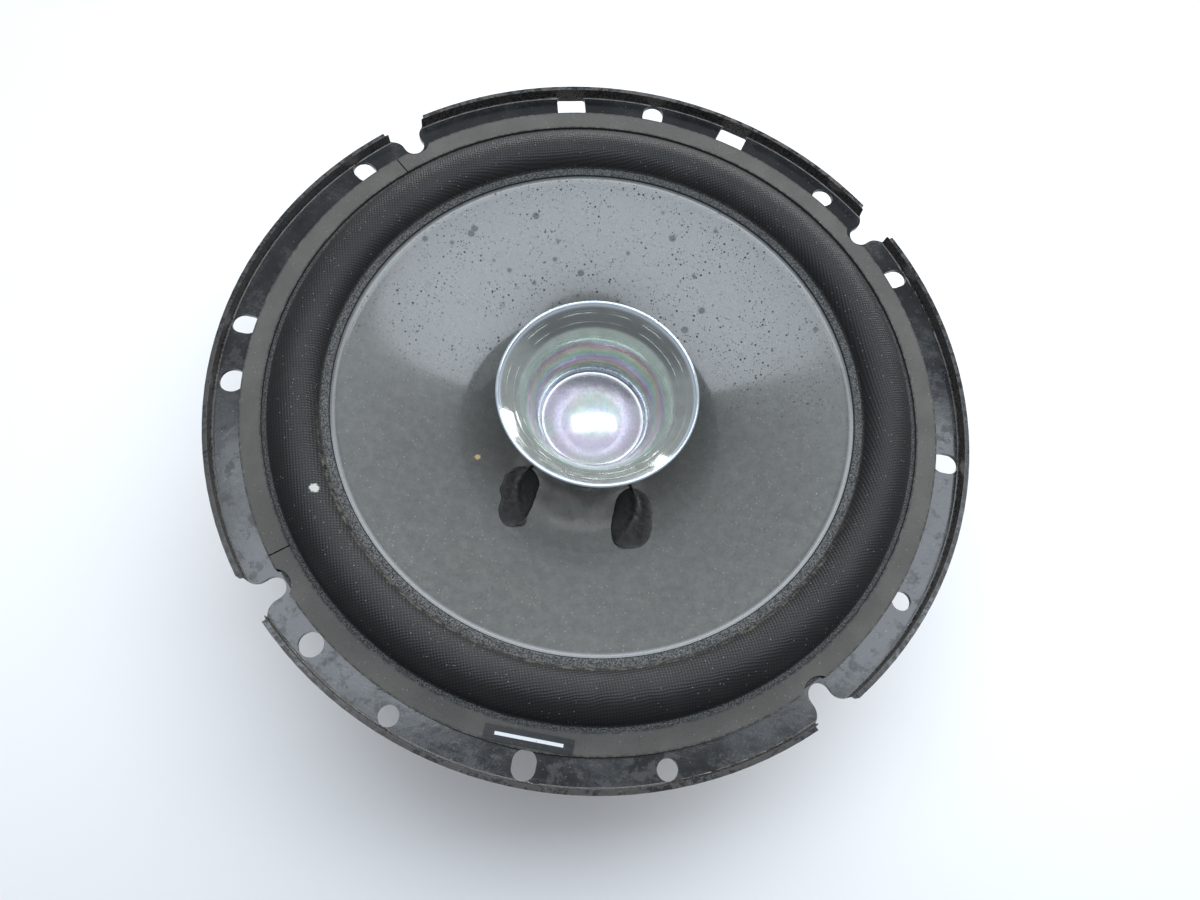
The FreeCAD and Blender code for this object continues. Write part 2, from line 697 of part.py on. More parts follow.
def rivet_between(x, y, bottom, top):
    """A rivet whose two heads clamp what lies between two heights."""
    shank = round_rod(RIVET_R, x, y, bottom, top)
    heads = [
        round_rod(RIVET_HEAD_R, x, y, bottom - RIVET_HEAD, bottom),
        round_rod(RIVET_HEAD_R, x, y, top, top + RIVET_HEAD),
    ]
    return shank.fuse(heads).removeSplitter()


def terminal_rivets():
    low = LEDGE_Z + SHEET
    return Part.makeCompound([rivet_between(side * TAB_X, TAB_RIVET_Y, low, TAB_TOP) for side in (1, -1)])


def solder_joints(leads):
    """A solder bead on the inner end of each tab, round the end of its tinsel lead."""
    beads = []
    for side in (1, -1):
        bead = Part.makeSphere(SOLDER_R, vec(side * TAB_X, SOLDER_Y, TAB_TOP))
        bead = bead.common(round_rod(SOLDER_R, side * TAB_X, SOLDER_Y, TAB_TOP, TAB_TOP + SOLDER_HEIGHT))
        beads.append(max(bead.cut(leads).Solids, key=lambda s: s.Volume))
    return Part.makeCompound(beads)


def tube(points, radius):
    """A round tube along straight runs joined by arcs as large as the runs allow."""
    edges = []
    start = points[0]
    for before, corner, after in zip(points, points[1:], points[2:]):
        inward = (before - corner).normalize()
        outward = (after - corner).normalize()
        half = inward.getAngle(outward) / 2
        cut = 0.45 * min((before - corner).Length, (after - corner).Length)
        bend = cut * math.tan(half)
        middle = corner + (inward + outward).normalize() * (bend / math.sin(half) - bend)
        first = corner + inward * cut
        last = corner + outward * cut
        edges.append(Part.LineSegment(start, first).toShape())
        edges.append(Part.Arc(first, middle, last).toShape())
        print("bend radius %.1f mm" % bend)
        start = last
    edges.append(Part.LineSegment(start, points[-1]).toShape())
    path = Part.Wire(edges)
    profile = Part.Wire(Part.Circle(points[0], points[1] - points[0], radius).toShape())
    solid = path.makePipeShell([profile], True, True)
    straight = path.Length * math.pi * radius ** 2
    print("tube %.2f mm long, volume ratio %.4f" % (path.Length, solid.Volume / straight))
    return solid


def tinsel_lead(side):
    """A flexible braid from the cone's eyelet to its terminal tab."""
    place, out = across_cone(side)
    start = place - out * (CONE_THICKNESS + EYELET_FLANGE)
    end = vec(side * TAB_X, SOLDER_Y, TAB_TOP + TINSEL_R)
    points = [
        start,
        start - out * 4.0,
        vec(side * 10.6, -36.0, -14.0),
        vec(side * 9.4, -41.0, -13.6),
        end,
    ]
    return tube(points, TINSEL_R)


def build():
    cone_shape = cone()
    eyelet_pair = eyelets(cone_shape)
    coil_leads = {side: coil_lead(side).cut(eyelet_pair) for side in (1, -1)}
    tinsel = {side: tinsel_lead(side) for side in (1, -1)}
    short_arc, long_arc = gasket_arcs()
    magnet = ring(MAGNET_HOLE_R, MAGNET_R, MAGNET_BOTTOM, TOP_PLATE_BOTTOM, EDGE_CHAMFER)
    recess_z = REAR_Z + REAR_RECESS_DEPTH
    rear_label = ring(REAR_LABEL_HOLE_R, REAR_LABEL_R, recess_z - REAR_LABEL_THICKNESS, recess_z)
    winding_top = WINDING_BOTTOM + WINDING_HEIGHT
    return {
        "basket": basket(),
        "gasket_short_arc": short_arc,
        "gasket_long_arc": long_arc,
        "gasket_label": gasket_label(),
        "surround": surround(),
        "spider": spider(),
        "top_plate": top_plate(),
        "magnet": magnet,
        "yoke": yoke(),
        "rear_label": rear_label,
        "motor_rivets": motor_rivets(),
        "terminal_board": terminal_board(),
        "terminal_tab_positive": terminal_tab(1, POSITIVE_TAB_WIDTH),
        "terminal_tab_negative": terminal_tab(-1, NEGATIVE_TAB_WIDTH),
        "terminal_rivets": terminal_rivets(),
        "board_rivet": rivet_between(0, BOARD_RIVET_Y, LEDGE_Z, BOARD_TOP),
        "solder_joints": solder_joints(list(tinsel.values())),
        "tinsel_lead_positive": tinsel[1],
        "tinsel_lead_negative": tinsel[-1],
        "cone": cone_shape,
        "whizzer_cone": whizzer(),
        "dust_cap": dust_cap(),
        "coil_former": ring(FORMER_INNER_R, FORMER_OUTER_R, FORMER_BOTTOM, FORMER_TOP),
        "coil_winding": ring(FORMER_OUTER_R, WINDING_OUTER_R, WINDING_BOTTOM, winding_top),
        "neck_adhesive": neck_adhesive(cone_shape),
        "cone_eyelets": eyelet_pair,
        "coil_lead_positive": coil_leads[1],
        "coil_lead_negative": coil_leads[-1],
        "glue_dab_positive": glue_dab(1, coil_leads[1], eyelet_pair),
        "glue_dab_negative": glue_dab(-1, coil_leads[-1], eyelet_pair),
    }


os.makedirs("parts", exist_ok=True)
for node, shape in build().items():
    shape.exportStep("parts/%s.step" % node)
    print("%-24s %d solid(s)  valid %s  %.1f mm3" % (node, len(shape.Solids), shape.isValid(), shape.Volume))
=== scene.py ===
"""A dual-cone car speaker, nominal 17 cm: its looks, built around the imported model.

Sections, radii and heights are in millimetres; meshes, lights and the camera are in metres.
"""

import math

import bmesh
import bpy
import numpy as np
from mathutils import Matrix, Quaternion, Vector, noise


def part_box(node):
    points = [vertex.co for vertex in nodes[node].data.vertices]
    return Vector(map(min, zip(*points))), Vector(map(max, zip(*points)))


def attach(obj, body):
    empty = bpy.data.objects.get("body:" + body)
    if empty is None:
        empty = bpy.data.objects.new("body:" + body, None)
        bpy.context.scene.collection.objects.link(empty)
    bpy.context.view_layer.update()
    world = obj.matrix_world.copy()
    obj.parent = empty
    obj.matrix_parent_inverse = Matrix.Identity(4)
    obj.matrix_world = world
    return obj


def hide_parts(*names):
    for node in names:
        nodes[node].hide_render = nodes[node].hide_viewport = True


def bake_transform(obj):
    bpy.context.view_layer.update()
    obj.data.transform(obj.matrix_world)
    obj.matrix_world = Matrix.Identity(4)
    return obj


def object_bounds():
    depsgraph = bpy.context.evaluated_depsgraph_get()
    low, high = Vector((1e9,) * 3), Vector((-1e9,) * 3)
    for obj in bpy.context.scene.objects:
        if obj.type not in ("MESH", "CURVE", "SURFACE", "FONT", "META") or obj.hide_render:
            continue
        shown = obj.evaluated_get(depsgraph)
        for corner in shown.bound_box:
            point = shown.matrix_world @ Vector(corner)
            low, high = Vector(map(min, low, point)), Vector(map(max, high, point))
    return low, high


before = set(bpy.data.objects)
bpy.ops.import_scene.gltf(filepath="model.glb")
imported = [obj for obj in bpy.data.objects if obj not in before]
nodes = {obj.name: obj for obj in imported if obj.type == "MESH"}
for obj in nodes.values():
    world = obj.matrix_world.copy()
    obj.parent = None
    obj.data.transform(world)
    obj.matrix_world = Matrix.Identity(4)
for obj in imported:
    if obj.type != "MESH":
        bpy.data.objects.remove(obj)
cad_low, cad_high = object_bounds()
MM = 0.001


def box_mm(node):
    low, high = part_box(node)
    return low / MM, high / MM


# ---------------------------------------------------------------- measures

surround_low, surround_high = box_mm("surround")
cone_low, cone_high = box_mm("cone")
whizzer_low, whizzer_high = box_mm("whizzer_cone")
cap_low, cap_high = box_mm("dust_cap")
spider_low, spider_high = box_mm("spider")
former_high = box_mm("coil_former")[1]
gasket_high = box_mm("gasket_long_arc")[1]
label_low, label_high = box_mm("gasket_label")

LAND_R = (57.2, 59.3)
ROLL_OUTER_R = 70.0
CLOTH = 0.5
CONE_NECK = (13.2, -15.2)
CONE_MID = (34.0, -5.7)
CONE_EDGE = (57.2, cone_high.z)
CONE_SHEET = 0.5
CONE_SLOPE = 0.38
GASKET_R = (71.2, gasket_high.x)
WHIZZER_SHEET = 0.35
WHIZZER_WAIST = (14.6, -4.5)
CAP_R = 11.6
CAP_EDGE_Z = -13.0
SPIDER_ROLLS_R = (15.4, 34.6)
SPIDER_ROLLS = 5
SPIDER_SHEET = 0.4
DAB_CENTRE = (12.8, -23.4)
DAB_HALF = (5.0, 8.3)
LEAD_PATH = ((-12.6, 9.6), (-20.5, 13.2), (-26.8, 11.9))
EYELET = (11.3, -29.4)
TAB_JOINT = (8.2, -45.3)
TINSEL_R = 0.6


# ---------------------------------------------------------------- section and mesh helpers


def circle_of(a, b, c):
    """Centre and radius of the circle through three points of a plane."""
    (ax, ay), (bx, by), (cx, cy) = a, b, c
    d = 2 * (ax * (by - cy) + bx * (cy - ay) + cx * (ay - by))
    sa, sb, sc = ax * ax + ay * ay, bx * bx + by * by, cx * cx + cy * cy
    ux = (sa * (by - cy) + sb * (cy - ay) + sc * (ay - by)) / d
    uy = (sa * (cx - bx) + sb * (ax - cx) + sc * (bx - ax)) / d
    return ux, uy, math.hypot(ax - ux, ay - uy)


def arc_through(a, b, c, count):
    """Points from a to c along the circle through three section points."""
    ux, uy, radius = circle_of(a, b, c)
    first, middle, last = (math.atan2(y - uy, x - ux) for x, y in (a, b, c))
    sweep = (last - first) % (2 * math.pi)
    if (middle - first) % (2 * math.pi) > sweep:
        sweep -= 2 * math.pi
    turns = [first + sweep * i / (count - 1) for i in range(count)]
    return [(ux + radius * math.cos(t), uy + radius * math.sin(t)) for t in turns]


def hermite(a, b, tangent_a, tangent_b, count):
    """A smooth run between two section points with the given end directions."""
    points = []
    for i in range(count):
        t = i / (count - 1)
        h00, h10 = 2 * t ** 3 - 3 * t ** 2 + 1, t ** 3 - 2 * t ** 2 + t
        h01, h11 = -2 * t ** 3 + 3 * t ** 2, t ** 3 - t ** 2
        point = [h00 * a[k] + h10 * tangent_a[k] + h01 * b[k] + h11 * tangent_b[k] for k in (0, 1)]
        points.append(tuple(point))
    return points


def thickened(line, thickness):
    """A closed section: a line and the same line moved sideways, to the right of its direction."""
    line = np.array(line)
    run = np.gradient(line, axis=0)
    run /= np.linalg.norm(run, axis=1)[:, None]
    other = line + np.stack([run[:, 1], -run[:, 0]], axis=1) * thickness
    return [tuple(p) for p in line] + [tuple(p) for p in other[::-1]]


def mesh_object(name, points, faces, material, crease):
    """An object from points in millimetres, with its normals outward and doubled points merged."""
    mesh = bpy.data.meshes.new(name)
    mesh.from_pydata((np.asarray(points, float) * MM).tolist(), [], faces)
    built = bmesh.new()
    built.from_mesh(mesh)
    bmesh.ops.remove_doubles(built, verts=built.verts, dist=1e-7)
    bmesh.ops.recalc_face_normals(built, faces=built.faces)
    built.to_mesh(mesh)
    built.free()
    mesh.shade_smooth()
    mesh.set_sharp_from_angle(angle=math.radians(crease))
    mesh.materials.append(material)
    piece = bpy.data.objects.new(name, mesh)
    bpy.context.scene.collection.objects.link(piece)
    return piece


def grid_faces(rows, columns, close_rows=False, close_columns=False):
    """Quads over a grid of points kept row by row."""
    faces = []
    for i in range(rows if close_rows else rows - 1):
        for j in range(columns if close_columns else columns - 1):
            k, m = (i + 1) % rows, (j + 1) % columns
            faces.append((i * columns + j, i * columns + m, k * columns + m, k * columns + j))
    return faces


def turned(name, section, material, segments, crease, shape=None):
    """The surface that a closed section sweeps about Z. shape(x, y, z) may move its points."""
    section = np.array(section)
    turn = np.arange(segments)[:, None] * 2 * math.pi / segments
    x = section[None, :, 0] * np.cos(turn)
    y = section[None, :, 0] * np.sin(turn)
    z = np.broadcast_to(section[None, :, 1], x.shape)
    if shape:
        x, y, z = shape(x, y, z)
    points = np.stack([x, y, z], axis=-1).reshape(-1, 3)
    faces = grid_faces(segments, len(section), True, True)
    return mesh_object(name, points, faces, material, crease)


def wander(angle, seed, size):
    """A smooth closed random function of the angle, about -1 to 1."""
    place = Vector((math.cos(angle) * size, math.sin(angle) * size, seed))
    return noise.noise(place) * 2


def blend_radially(piece, fixed_r, moving_r):
    """Bakes the piece's transform into its mesh and works out each point's share from fixed_r to
    moving_r; nothing uses that share.
    """
    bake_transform(piece)
    points = np.array([v.co for v in piece.data.vertices]) / MM
    share = (np.hypot(points[:, 0], points[:, 1]) - fixed_r) / (moving_r - fixed_r)
    share = np.clip(share, 0, 1)


CONE_CIRCLE = circle_of(CONE_NECK, CONE_MID, CONE_EDGE)


def cone_height(radius):
    """Height of the cone's front face at a radius."""
    x, y, reach = CONE_CIRCLE
    return y + math.sqrt(reach * reach - (radius - x) ** 2)


# ---------------------------------------------------------------- materials


class Graph:
    """One material under construction. Its texture places are in millimetres in the row frame."""

    def __init__(self, name, **constants):
        self.material = bpy.data.materials.new(name)
        self.material.use_nodes = True
        self.tree = self.material.node_tree
        self.tree.nodes.clear()
        self.shader = self.tree.nodes.new("ShaderNodeBsdfPrincipled")
        output = self.tree.nodes.new("ShaderNodeOutputMaterial")
        self.tree.links.new(self.shader.outputs[0], output.inputs["Surface"])
        for socket, value in constants.items():
            label = socket.replace("_", " ").title().replace("Ior", "IOR")
            self.shader.inputs[label].default_value = value
        coordinates = self.tree.nodes.new("ShaderNodeTexCoord").outputs["Object"]
        self.place = self.vector("SCALE", coordinates, scale=1 / MM)
        self.x, self.y, self.z = self.node("SeparateXYZ", {0: self.place}).outputs
        x_squared = self.math("MULTIPLY", self.x, self.x)
        y_squared = self.math("MULTIPLY", self.y, self.y)
        self.radius = self.math("SQRT", self.math("ADD", x_squared, y_squared))

    def node(self, kind, inputs, **settings):
        made = self.tree.nodes.new("ShaderNode" + kind)
        for key, value in settings.items():
            setattr(made, key, value)
        for key, value in inputs.items():
            if isinstance(value, bpy.types.NodeSocket):
                self.tree.links.new(value, made.inputs[key])
            else:
                made.inputs[key].default_value = value
        return made

    def math(self, operation, a, b=0.0, c=0.0):
        """a, b and, for MULTIPLY_ADD, c: a * b + c."""
        return self.node("Math", {0: a, 1: b, 2: c}, operation=operation).outputs[0]

    def vector(self, operation, a, b=(0, 0, 0), scale=1.0):
        return self.node("VectorMath", {0: a, 1: b, 3: scale}, operation=operation).outputs[0]

    def angle(self):
        return self.math("ARCTAN2", self.y, self.x)

    def noise(self, per_mm, detail=3.0, roughness=0.5, place=None, distortion=0.0):
        inputs = {"Vector": place or self.place, "Scale": per_mm, "Detail": detail}
        inputs.update({"Roughness": roughness, "Distortion": distortion})
        return self.node("TexNoise", inputs).outputs["Fac"]

    def ramp(self, value, start, end, low=0.0, high=1.0):
        """value from start to end becomes low to high, smoothly and clamped."""
        inputs = {"Value": value, "From Min": start, "From Max": end, "To Min": low, "To Max": high}
        return self.node("MapRange", inputs, interpolation_type="SMOOTHSTEP").outputs["Result"]

    def band(self, value, start, end, soft):
        """1 where value lies between start and end, 0 outside, with soft edges."""
        rise = self.ramp(value, start - soft, start + soft)
        fall = self.ramp(value, end - soft, end + soft, 1.0, 0.0)
        return self.math("MULTIPLY", rise, fall)

    def mix(self, factor, a, b):
        inputs = {0: factor, 6: colour(a), 7: colour(b)}
        return self.node("Mix", inputs, data_type="RGBA").outputs[2]

    def blend(self, factor, a, b):
        return self.node("Mix", {0: factor, 2: a, 3: b}).outputs[0]

    def specks(self, per_mm, size, share):
        """Small round marks in a share of the cells, as a 0 to 1 mask. size is in cell widths."""
        found = self.node("TexVoronoi", {"Vector": self.place, "Scale": per_mm}).outputs
        pick = self.node("SeparateColor", {0: found["Color"]}).outputs[0]
        chosen = self.math("LESS_THAN", pick, share)
        return self.math("MULTIPLY", self.ramp(found["Distance"], size * 0.6, size, 1.0, 0.0), chosen)

    def spot(self, x, y, size, soft=0.4):
        """A round mark at one place on the piece, ragged at its edge."""
        sides = {0: self.math("SUBTRACT", self.x, x), 1: self.math("SUBTRACT", self.y, y)}
        off = self.node("CombineXYZ", sides)
        distance = self.node("VectorMath", {0: off.outputs[0]}, operation="LENGTH").outputs["Value"]
        ragged = self.math("MULTIPLY", self.noise(1.6 / size, 3.0), size)
        distance = self.math("ADD", distance, self.math("MULTIPLY", ragged, 1.2))
        return self.ramp(distance, size * (1 + soft), size * (1.6 + soft), 1.0, 0.0)

    def bump(self, height, depth, strength=1.0, normal=None):
        """A normal from a height field; depth in millimetres is what a height of 1 stands for."""
        inputs = {"Height": height, "Distance": depth * MM, "Strength": strength}
        if normal:
            inputs["Normal"] = normal
        return self.node("Bump", inputs).outputs[0]

    def finish(self, colour_value, roughness, normal=None):
        self.set("Base Color", colour_value)
        self.set("Roughness", roughness)
        if normal:
            self.set("Normal", normal)
        return self.material

    def set(self, socket, value):
        if isinstance(value, bpy.types.NodeSocket):
            self.tree.links.new(value, self.shader.inputs[socket])
        else:
            self.shader.inputs[socket].default_value = colour(value)


def colour(value):
    """Adds the alpha that a colour socket wants; other values pass through."""
    return (*value, 1.0) if isinstance(value, tuple) and len(value) == 3 else value


def black_paint():
    """Gloss black enamel on the basket: dust film, dried drops, fine scratches, a worn lip."""
    g = Graph("black_enamel", specular_ior_level=0.6)
    dust = g.ramp(g.noise(0.06, 5.0, 0.6), 0.4, 0.72)
    grain = g.ramp(g.noise(2.2, 4.0, 0.7), 0.45, 0.7)
    film = g.math("MULTIPLY", dust, g.math("MULTIPLY_ADD", grain, 0.6, 0.4))
    drops = g.specks(0.28, 0.33, 0.35)
    motes = g.specks(1.1, 0.14, 0.3)
    stretched = g.vector("MULTIPLY", g.place, (0.25, 3.0, 1.0))
    scratches = g.math("MULTIPLY", g.ramp(g.noise(0.9, 2.0, 0.5, stretched), 0.66, 0.7), dust)
    lip = g.math("MULTIPLY", g.ramp(g.radius, 81.2, 81.8), g.ramp(g.z, 2.6, 3.3))
    worn = g.math("MULTIPLY", lip, g.ramp(g.noise(0.7, 4.0, 0.7), 0.42, 0.6))
    corner = g.math("MULTIPLY", g.band(g.radius, 80.2, 81.5, 0.3), g.ramp(g.z, 0.9, 1.3))
    corner = g.math("MULTIPLY", corner, g.ramp(g.noise(1.5, 4.0, 0.7), 0.42, 0.6))
    paint = g.mix(g.noise(0.15, 2.0), (0.008, 0.009, 0.011), (0.014, 0.0145, 0.016))
    paint = g.mix(g.math("MULTIPLY", film, 0.35), paint, (0.1, 0.1, 0.098))
    paint = g.mix(g.math("MULTIPLY", drops, 0.35), paint, (0.012, 0.012, 0.012))
    paint = g.mix(g.math("MULTIPLY", motes, 0.5), paint, (0.3, 0.29, 0.27))
    paint = g.mix(g.math("MULTIPLY", worn, 0.4), paint, (0.055, 0.042, 0.03))
    paint = g.mix(g.math("MULTIPLY", corner, 0.7), paint, (0.1, 0.085, 0.065))
    mottle = g.ramp(g.noise(0.32, 5.0, 0.7), 0.5, 0.62, 0.0, 0.16)
    roughness = g.math("ADD", g.math("MULTIPLY", film, 0.3), mottle)
    roughness = g.math("ADD", roughness, g.math("MULTIPLY", g.math("MAXIMUM", worn, corner), 0.4))
    roughness = g.math("ADD", roughness, g.math("MULTIPLY", scratches, 0.25))
    roughness = g.math("ADD", roughness, 0.13)
    peel = g.bump(g.noise(0.45, 2.0), 0.02)
    height = g.math("SUBTRACT", g.math("MULTIPLY", drops, 0.4), g.math("MULTIPLY", scratches, 0.5))
    normal = g.bump(height, 0.02, 0.6, peel)
    return g.finish(paint, roughness, normal)


def gasket_card():
    """Grey-brown pressed card: fibres, pale and dark flecks, darker scuffed edges."""
    g = Graph("gasket_card", specular_ior_level=0.25)
    fibres = g.noise(3.2, 5.0, 0.7, distortion=1.2)
    clouds = g.noise(0.12, 3.0)
    card = g.mix(fibres, (0.064, 0.062, 0.057), (0.108, 0.106, 0.098))
    card = g.mix(g.ramp(clouds, 0.35, 0.7, 0.0, 0.35), card, (0.135, 0.132, 0.12))
    card = g.mix(g.math("MULTIPLY", g.specks(1.9, 0.24, 0.25), 0.6), card, (0.035, 0.034, 0.03))
    card = g.mix(g.math("MULTIPLY", g.specks(1.3, 0.15, 0.3), 0.7), card, (0.3, 0.29, 0.26))
    edge = g.math("SUBTRACT", 1.0, g.band(g.radius, GASKET_R[0] + 0.3, GASKET_R[1] - 0.3, 0.25))
    edge = g.math("MULTIPLY", edge, g.ramp(g.noise(1.1, 3.0), 0.35, 0.6))
    side = g.ramp(g.z, gasket_high.z - 0.25, gasket_high.z - 0.05, 1.0, 0.0)
    card = g.mix(g.math("MULTIPLY", g.math("MAXIMUM", edge, side), 0.7), card, (0.02, 0.02, 0.018))
    normal = g.bump(fibres, 0.06, 0.7)
    return g.finish(card, g.ramp(fibres, 0.3, 0.7, 0.95, 0.75), normal)


def label_film():
    """A near-black satin strip with one plain pale rule."""
    g = Graph("label_film", specular_ior_level=0.3)
    middle = (label_low.y + label_high.y) / 2
    along = g.band(g.x, -6.6, 6.6, 0.06)
    rule = g.math("MULTIPLY", along, g.band(g.y, middle - 0.32, middle + 0.32, 0.05))
    rule = g.math("MULTIPLY", rule, g.ramp(g.noise(1.2, 4.0), 0.26, 0.36))
    film = g.mix(g.noise(0.6, 4.0), (0.006, 0.006, 0.007), (0.016, 0.016, 0.017))
    film = g.mix(g.math("MULTIPLY", g.specks(1.6, 0.16, 0.3), 0.5), film, (0.2, 0.2, 0.19))
    film = g.mix(rule, film, (0.72, 0.73, 0.75))
    return g.finish(film, g.ramp(g.noise(0.8, 3.0), 0.3, 0.7, 0.2, 0.34), g.bump(rule, 0.02, 0.5))


def weave(g, pitch, turn):
    """Height of a plain weave laid flat and then pressed into shape: 0 to 1."""
    c, s = math.cos(turn), math.sin(turn)
    u = g.math("ADD", g.math("MULTIPLY", g.x, c), g.math("MULTIPLY", g.y, s))
    v = g.math("SUBTRACT", g.math("MULTIPLY", g.y, c), g.math("MULTIPLY", g.x, s))
    sway = g.math("MULTIPLY", g.noise(0.35, 2.0), 0.5)
    step = math.pi / pitch
    warp = g.math("SINE", g.math("MULTIPLY", g.math("ADD", u, sway), step))
    weft = g.math("SINE", g.math("MULTIPLY", g.math("ADD", v, sway), step))
    return g.math("MULTIPLY_ADD", g.math("MULTIPLY", warp, weft), 0.5, 0.5)


def surround_cloth():
    """Black impregnated cloth: weave, coarse pressed lands, a dusty crease, stray marks and painted
    shade along its inner edge.
    """
    g = Graph("surround_cloth", sheen_weight=0.03, sheen_roughness=0.45, specular_ior_level=0.3)
    threads = weave(g, 0.42, 1.13)
    coarse = g.noise(3.4, 3.0, 0.7)
    outer_land = g.ramp(g.radius, 69.9, 70.3)
    inner_land = g.ramp(g.radius, 58.9, 59.4, 1.0, 0.0)
    lands = g.math("MAXIMUM", outer_land, inner_land)
    cloth = g.mix(threads, (0.004, 0.0042, 0.0044), (0.014, 0.0144, 0.0147))
    cloth = g.mix(g.ramp(g.noise(0.09, 4.0, 0.6), 0.45, 0.75, 0.0, 0.3), cloth, (0.026, 0.0265, 0.026))
    pressed = g.mix(g.ramp(coarse, 0.4, 0.62), (0.014, 0.014, 0.015), (0.16, 0.163, 0.162))
    cloth = g.mix(g.math("MULTIPLY", lands, 0.75), cloth, pressed)
    lint = g.specks(1.5, 0.17, 0.16)
    cloth = g.mix(g.math("MULTIPLY", lint, 0.7), cloth, (0.33, 0.32, 0.3))
    near = g.ramp(g.y, -12.0, -30.0)
    ragged = g.math("ADD", g.radius, g.math("MULTIPLY", g.noise(0.5, 3.0), 0.8))
    crease = g.math("MULTIPLY", g.band(ragged, 59.6, 60.2, 0.15), near)
    crease = g.math("MULTIPLY", crease, g.ramp(g.noise(0.7, 4.0, 0.7), 0.4, 0.7))
    cloth = g.mix(g.math("MULTIPLY", crease, 0.6), cloth, (0.16, 0.15, 0.11))
    droppings = g.spot(-51.9, -34.6, 0.8)
    cloth = g.mix(g.math("MULTIPLY", droppings, 0.85), cloth, (0.5, 0.5, 0.46))
    # painted shade: a near-black line along the cloth's inner edge, where it meets the cone
    rim = g.ramp(g.radius, LAND_R[0] + 0.1, LAND_R[0] + 0.35, 1.0, 0.0)
    cloth = g.mix(rim, cloth, (0.008, 0.008, 0.009))
    height = g.blend(lands, threads, coarse)
    normal = g.bump(height, 0.08, 0.9)
    roughness = g.ramp(threads, 0.2, 0.8, 0.6, 0.42)
    return g.finish(cloth, g.math("ADD", roughness, g.math("MULTIPLY", lands, 0.2)), normal)


def cone_plastic():
    """Dark semi-gloss polypropylene: dust, dark pitting, water marks, tan specks, painted shade towards
    the neck and a painted highlight as a pale band by the edge.
    """
    g = Graph("cone_polypropylene", coat_roughness=0.08, specular_ior_level=0.45)
    clouds = g.noise(0.035, 5.0, 0.6)
    mottled = g.noise(0.5, 5.0, 0.65)
    body = g.mix(clouds, (0.078, 0.08, 0.076), (0.108, 0.11, 0.105))
    body = g.mix(g.ramp(mottled, 0.35, 0.7, 0.0, 0.3), body, (0.13, 0.132, 0.126))
    grain = g.noise(1.9, 3.0, 0.75)
    body = g.mix(g.ramp(grain, 0.5, 0.68, 0.0, 0.5), body, (0.035, 0.036, 0.034))
    dust = g.specks(1.15, 0.17, 0.4)
    body = g.mix(g.math("MULTIPLY", dust, 0.7), body, (0.3, 0.28, 0.22))
    far_side = g.ramp(g.y, -8.0, 14.0, 0.2, 1.0)
    pits = g.math("MAXIMUM", g.specks(0.75, 0.24, 0.45), g.specks(1.7, 0.3, 0.4))
    patches = g.ramp(g.noise(0.11, 4.0, 0.6), 0.34, 0.56, 0.12, 1.0)
    pits = g.math("MULTIPLY", g.math("MULTIPLY", pits, patches), far_side)
    body = g.mix(g.math("MULTIPLY", pits, 0.9), body, (0.016, 0.016, 0.016))
    # painted shade: the cone darkens towards the neck, where the whizzer shades it
    body = g.mix(g.ramp(g.radius, 36.0, 24.0, 0.0, 0.45), body, (0.03, 0.031, 0.03))
    motes = g.math("MAXIMUM", g.specks(0.42, 0.05, 0.25), g.specks(1.1, 0.08, 0.1))
    body = g.mix(g.math("MULTIPLY", motes, 0.6), body, (0.34, 0.34, 0.32))
    tan = g.math("MAXIMUM", g.spot(-23.3, -16.7, 0.55), g.specks(0.16, 0.03, 0.4))
    body = g.mix(tan, body, (0.42, 0.3, 0.16))
    marks = g.specks(0.3, 0.32, 0.3)
    marks = g.math("MULTIPLY", marks, g.ramp(g.y, 15.0, 28.0))
    body = g.mix(g.math("MULTIPLY", marks, 0.4), body, (0.02, 0.021, 0.022))
    # painted highlight: a pale band just inside the cone's edge
    edge = g.band(g.radius, 56.25, 56.8, 0.12)
    body = g.mix(g.math("MULTIPLY", edge, 0.6), body, (0.22, 0.225, 0.23))
    roughness = g.ramp(mottled, 0.3, 0.7, 0.2, 0.28)
    dull = g.math("MAXIMUM", pits, g.math("MULTIPLY", g.math("MAXIMUM", motes, marks), 0.6))
    dull = g.math("MAXIMUM", dull, g.ramp(grain, 0.52, 0.7, 0.0, 0.2))
    roughness = g.math("ADD", roughness, g.math("MULTIPLY", dull, 0.5))
    g.set("Coat Weight", g.ramp(dull, 0.0, 1.0, 0.6, 0.0))
    ripple = g.bump(g.noise(0.05, 2.0), 0.1, 0.5)
    normal = g.bump(g.math("SUBTRACT", motes, pits), 0.03, 0.5, ripple)
    return g.finish(body, roughness, normal)


def rainbow(g, value):
    """Soft pearly tints, green to pink to blue, as value goes round."""
    waves = []
    for shift in (0.0, 0.36, 0.68):
        turn = g.math("MULTIPLY", g.math("ADD", value, shift), 2 * math.pi)
        waves.append(g.math("MULTIPLY_ADD", g.math("SINE", turn), 0.5, 0.5))
    return g.node("CombineColor", dict(enumerate(waves))).outputs[0]


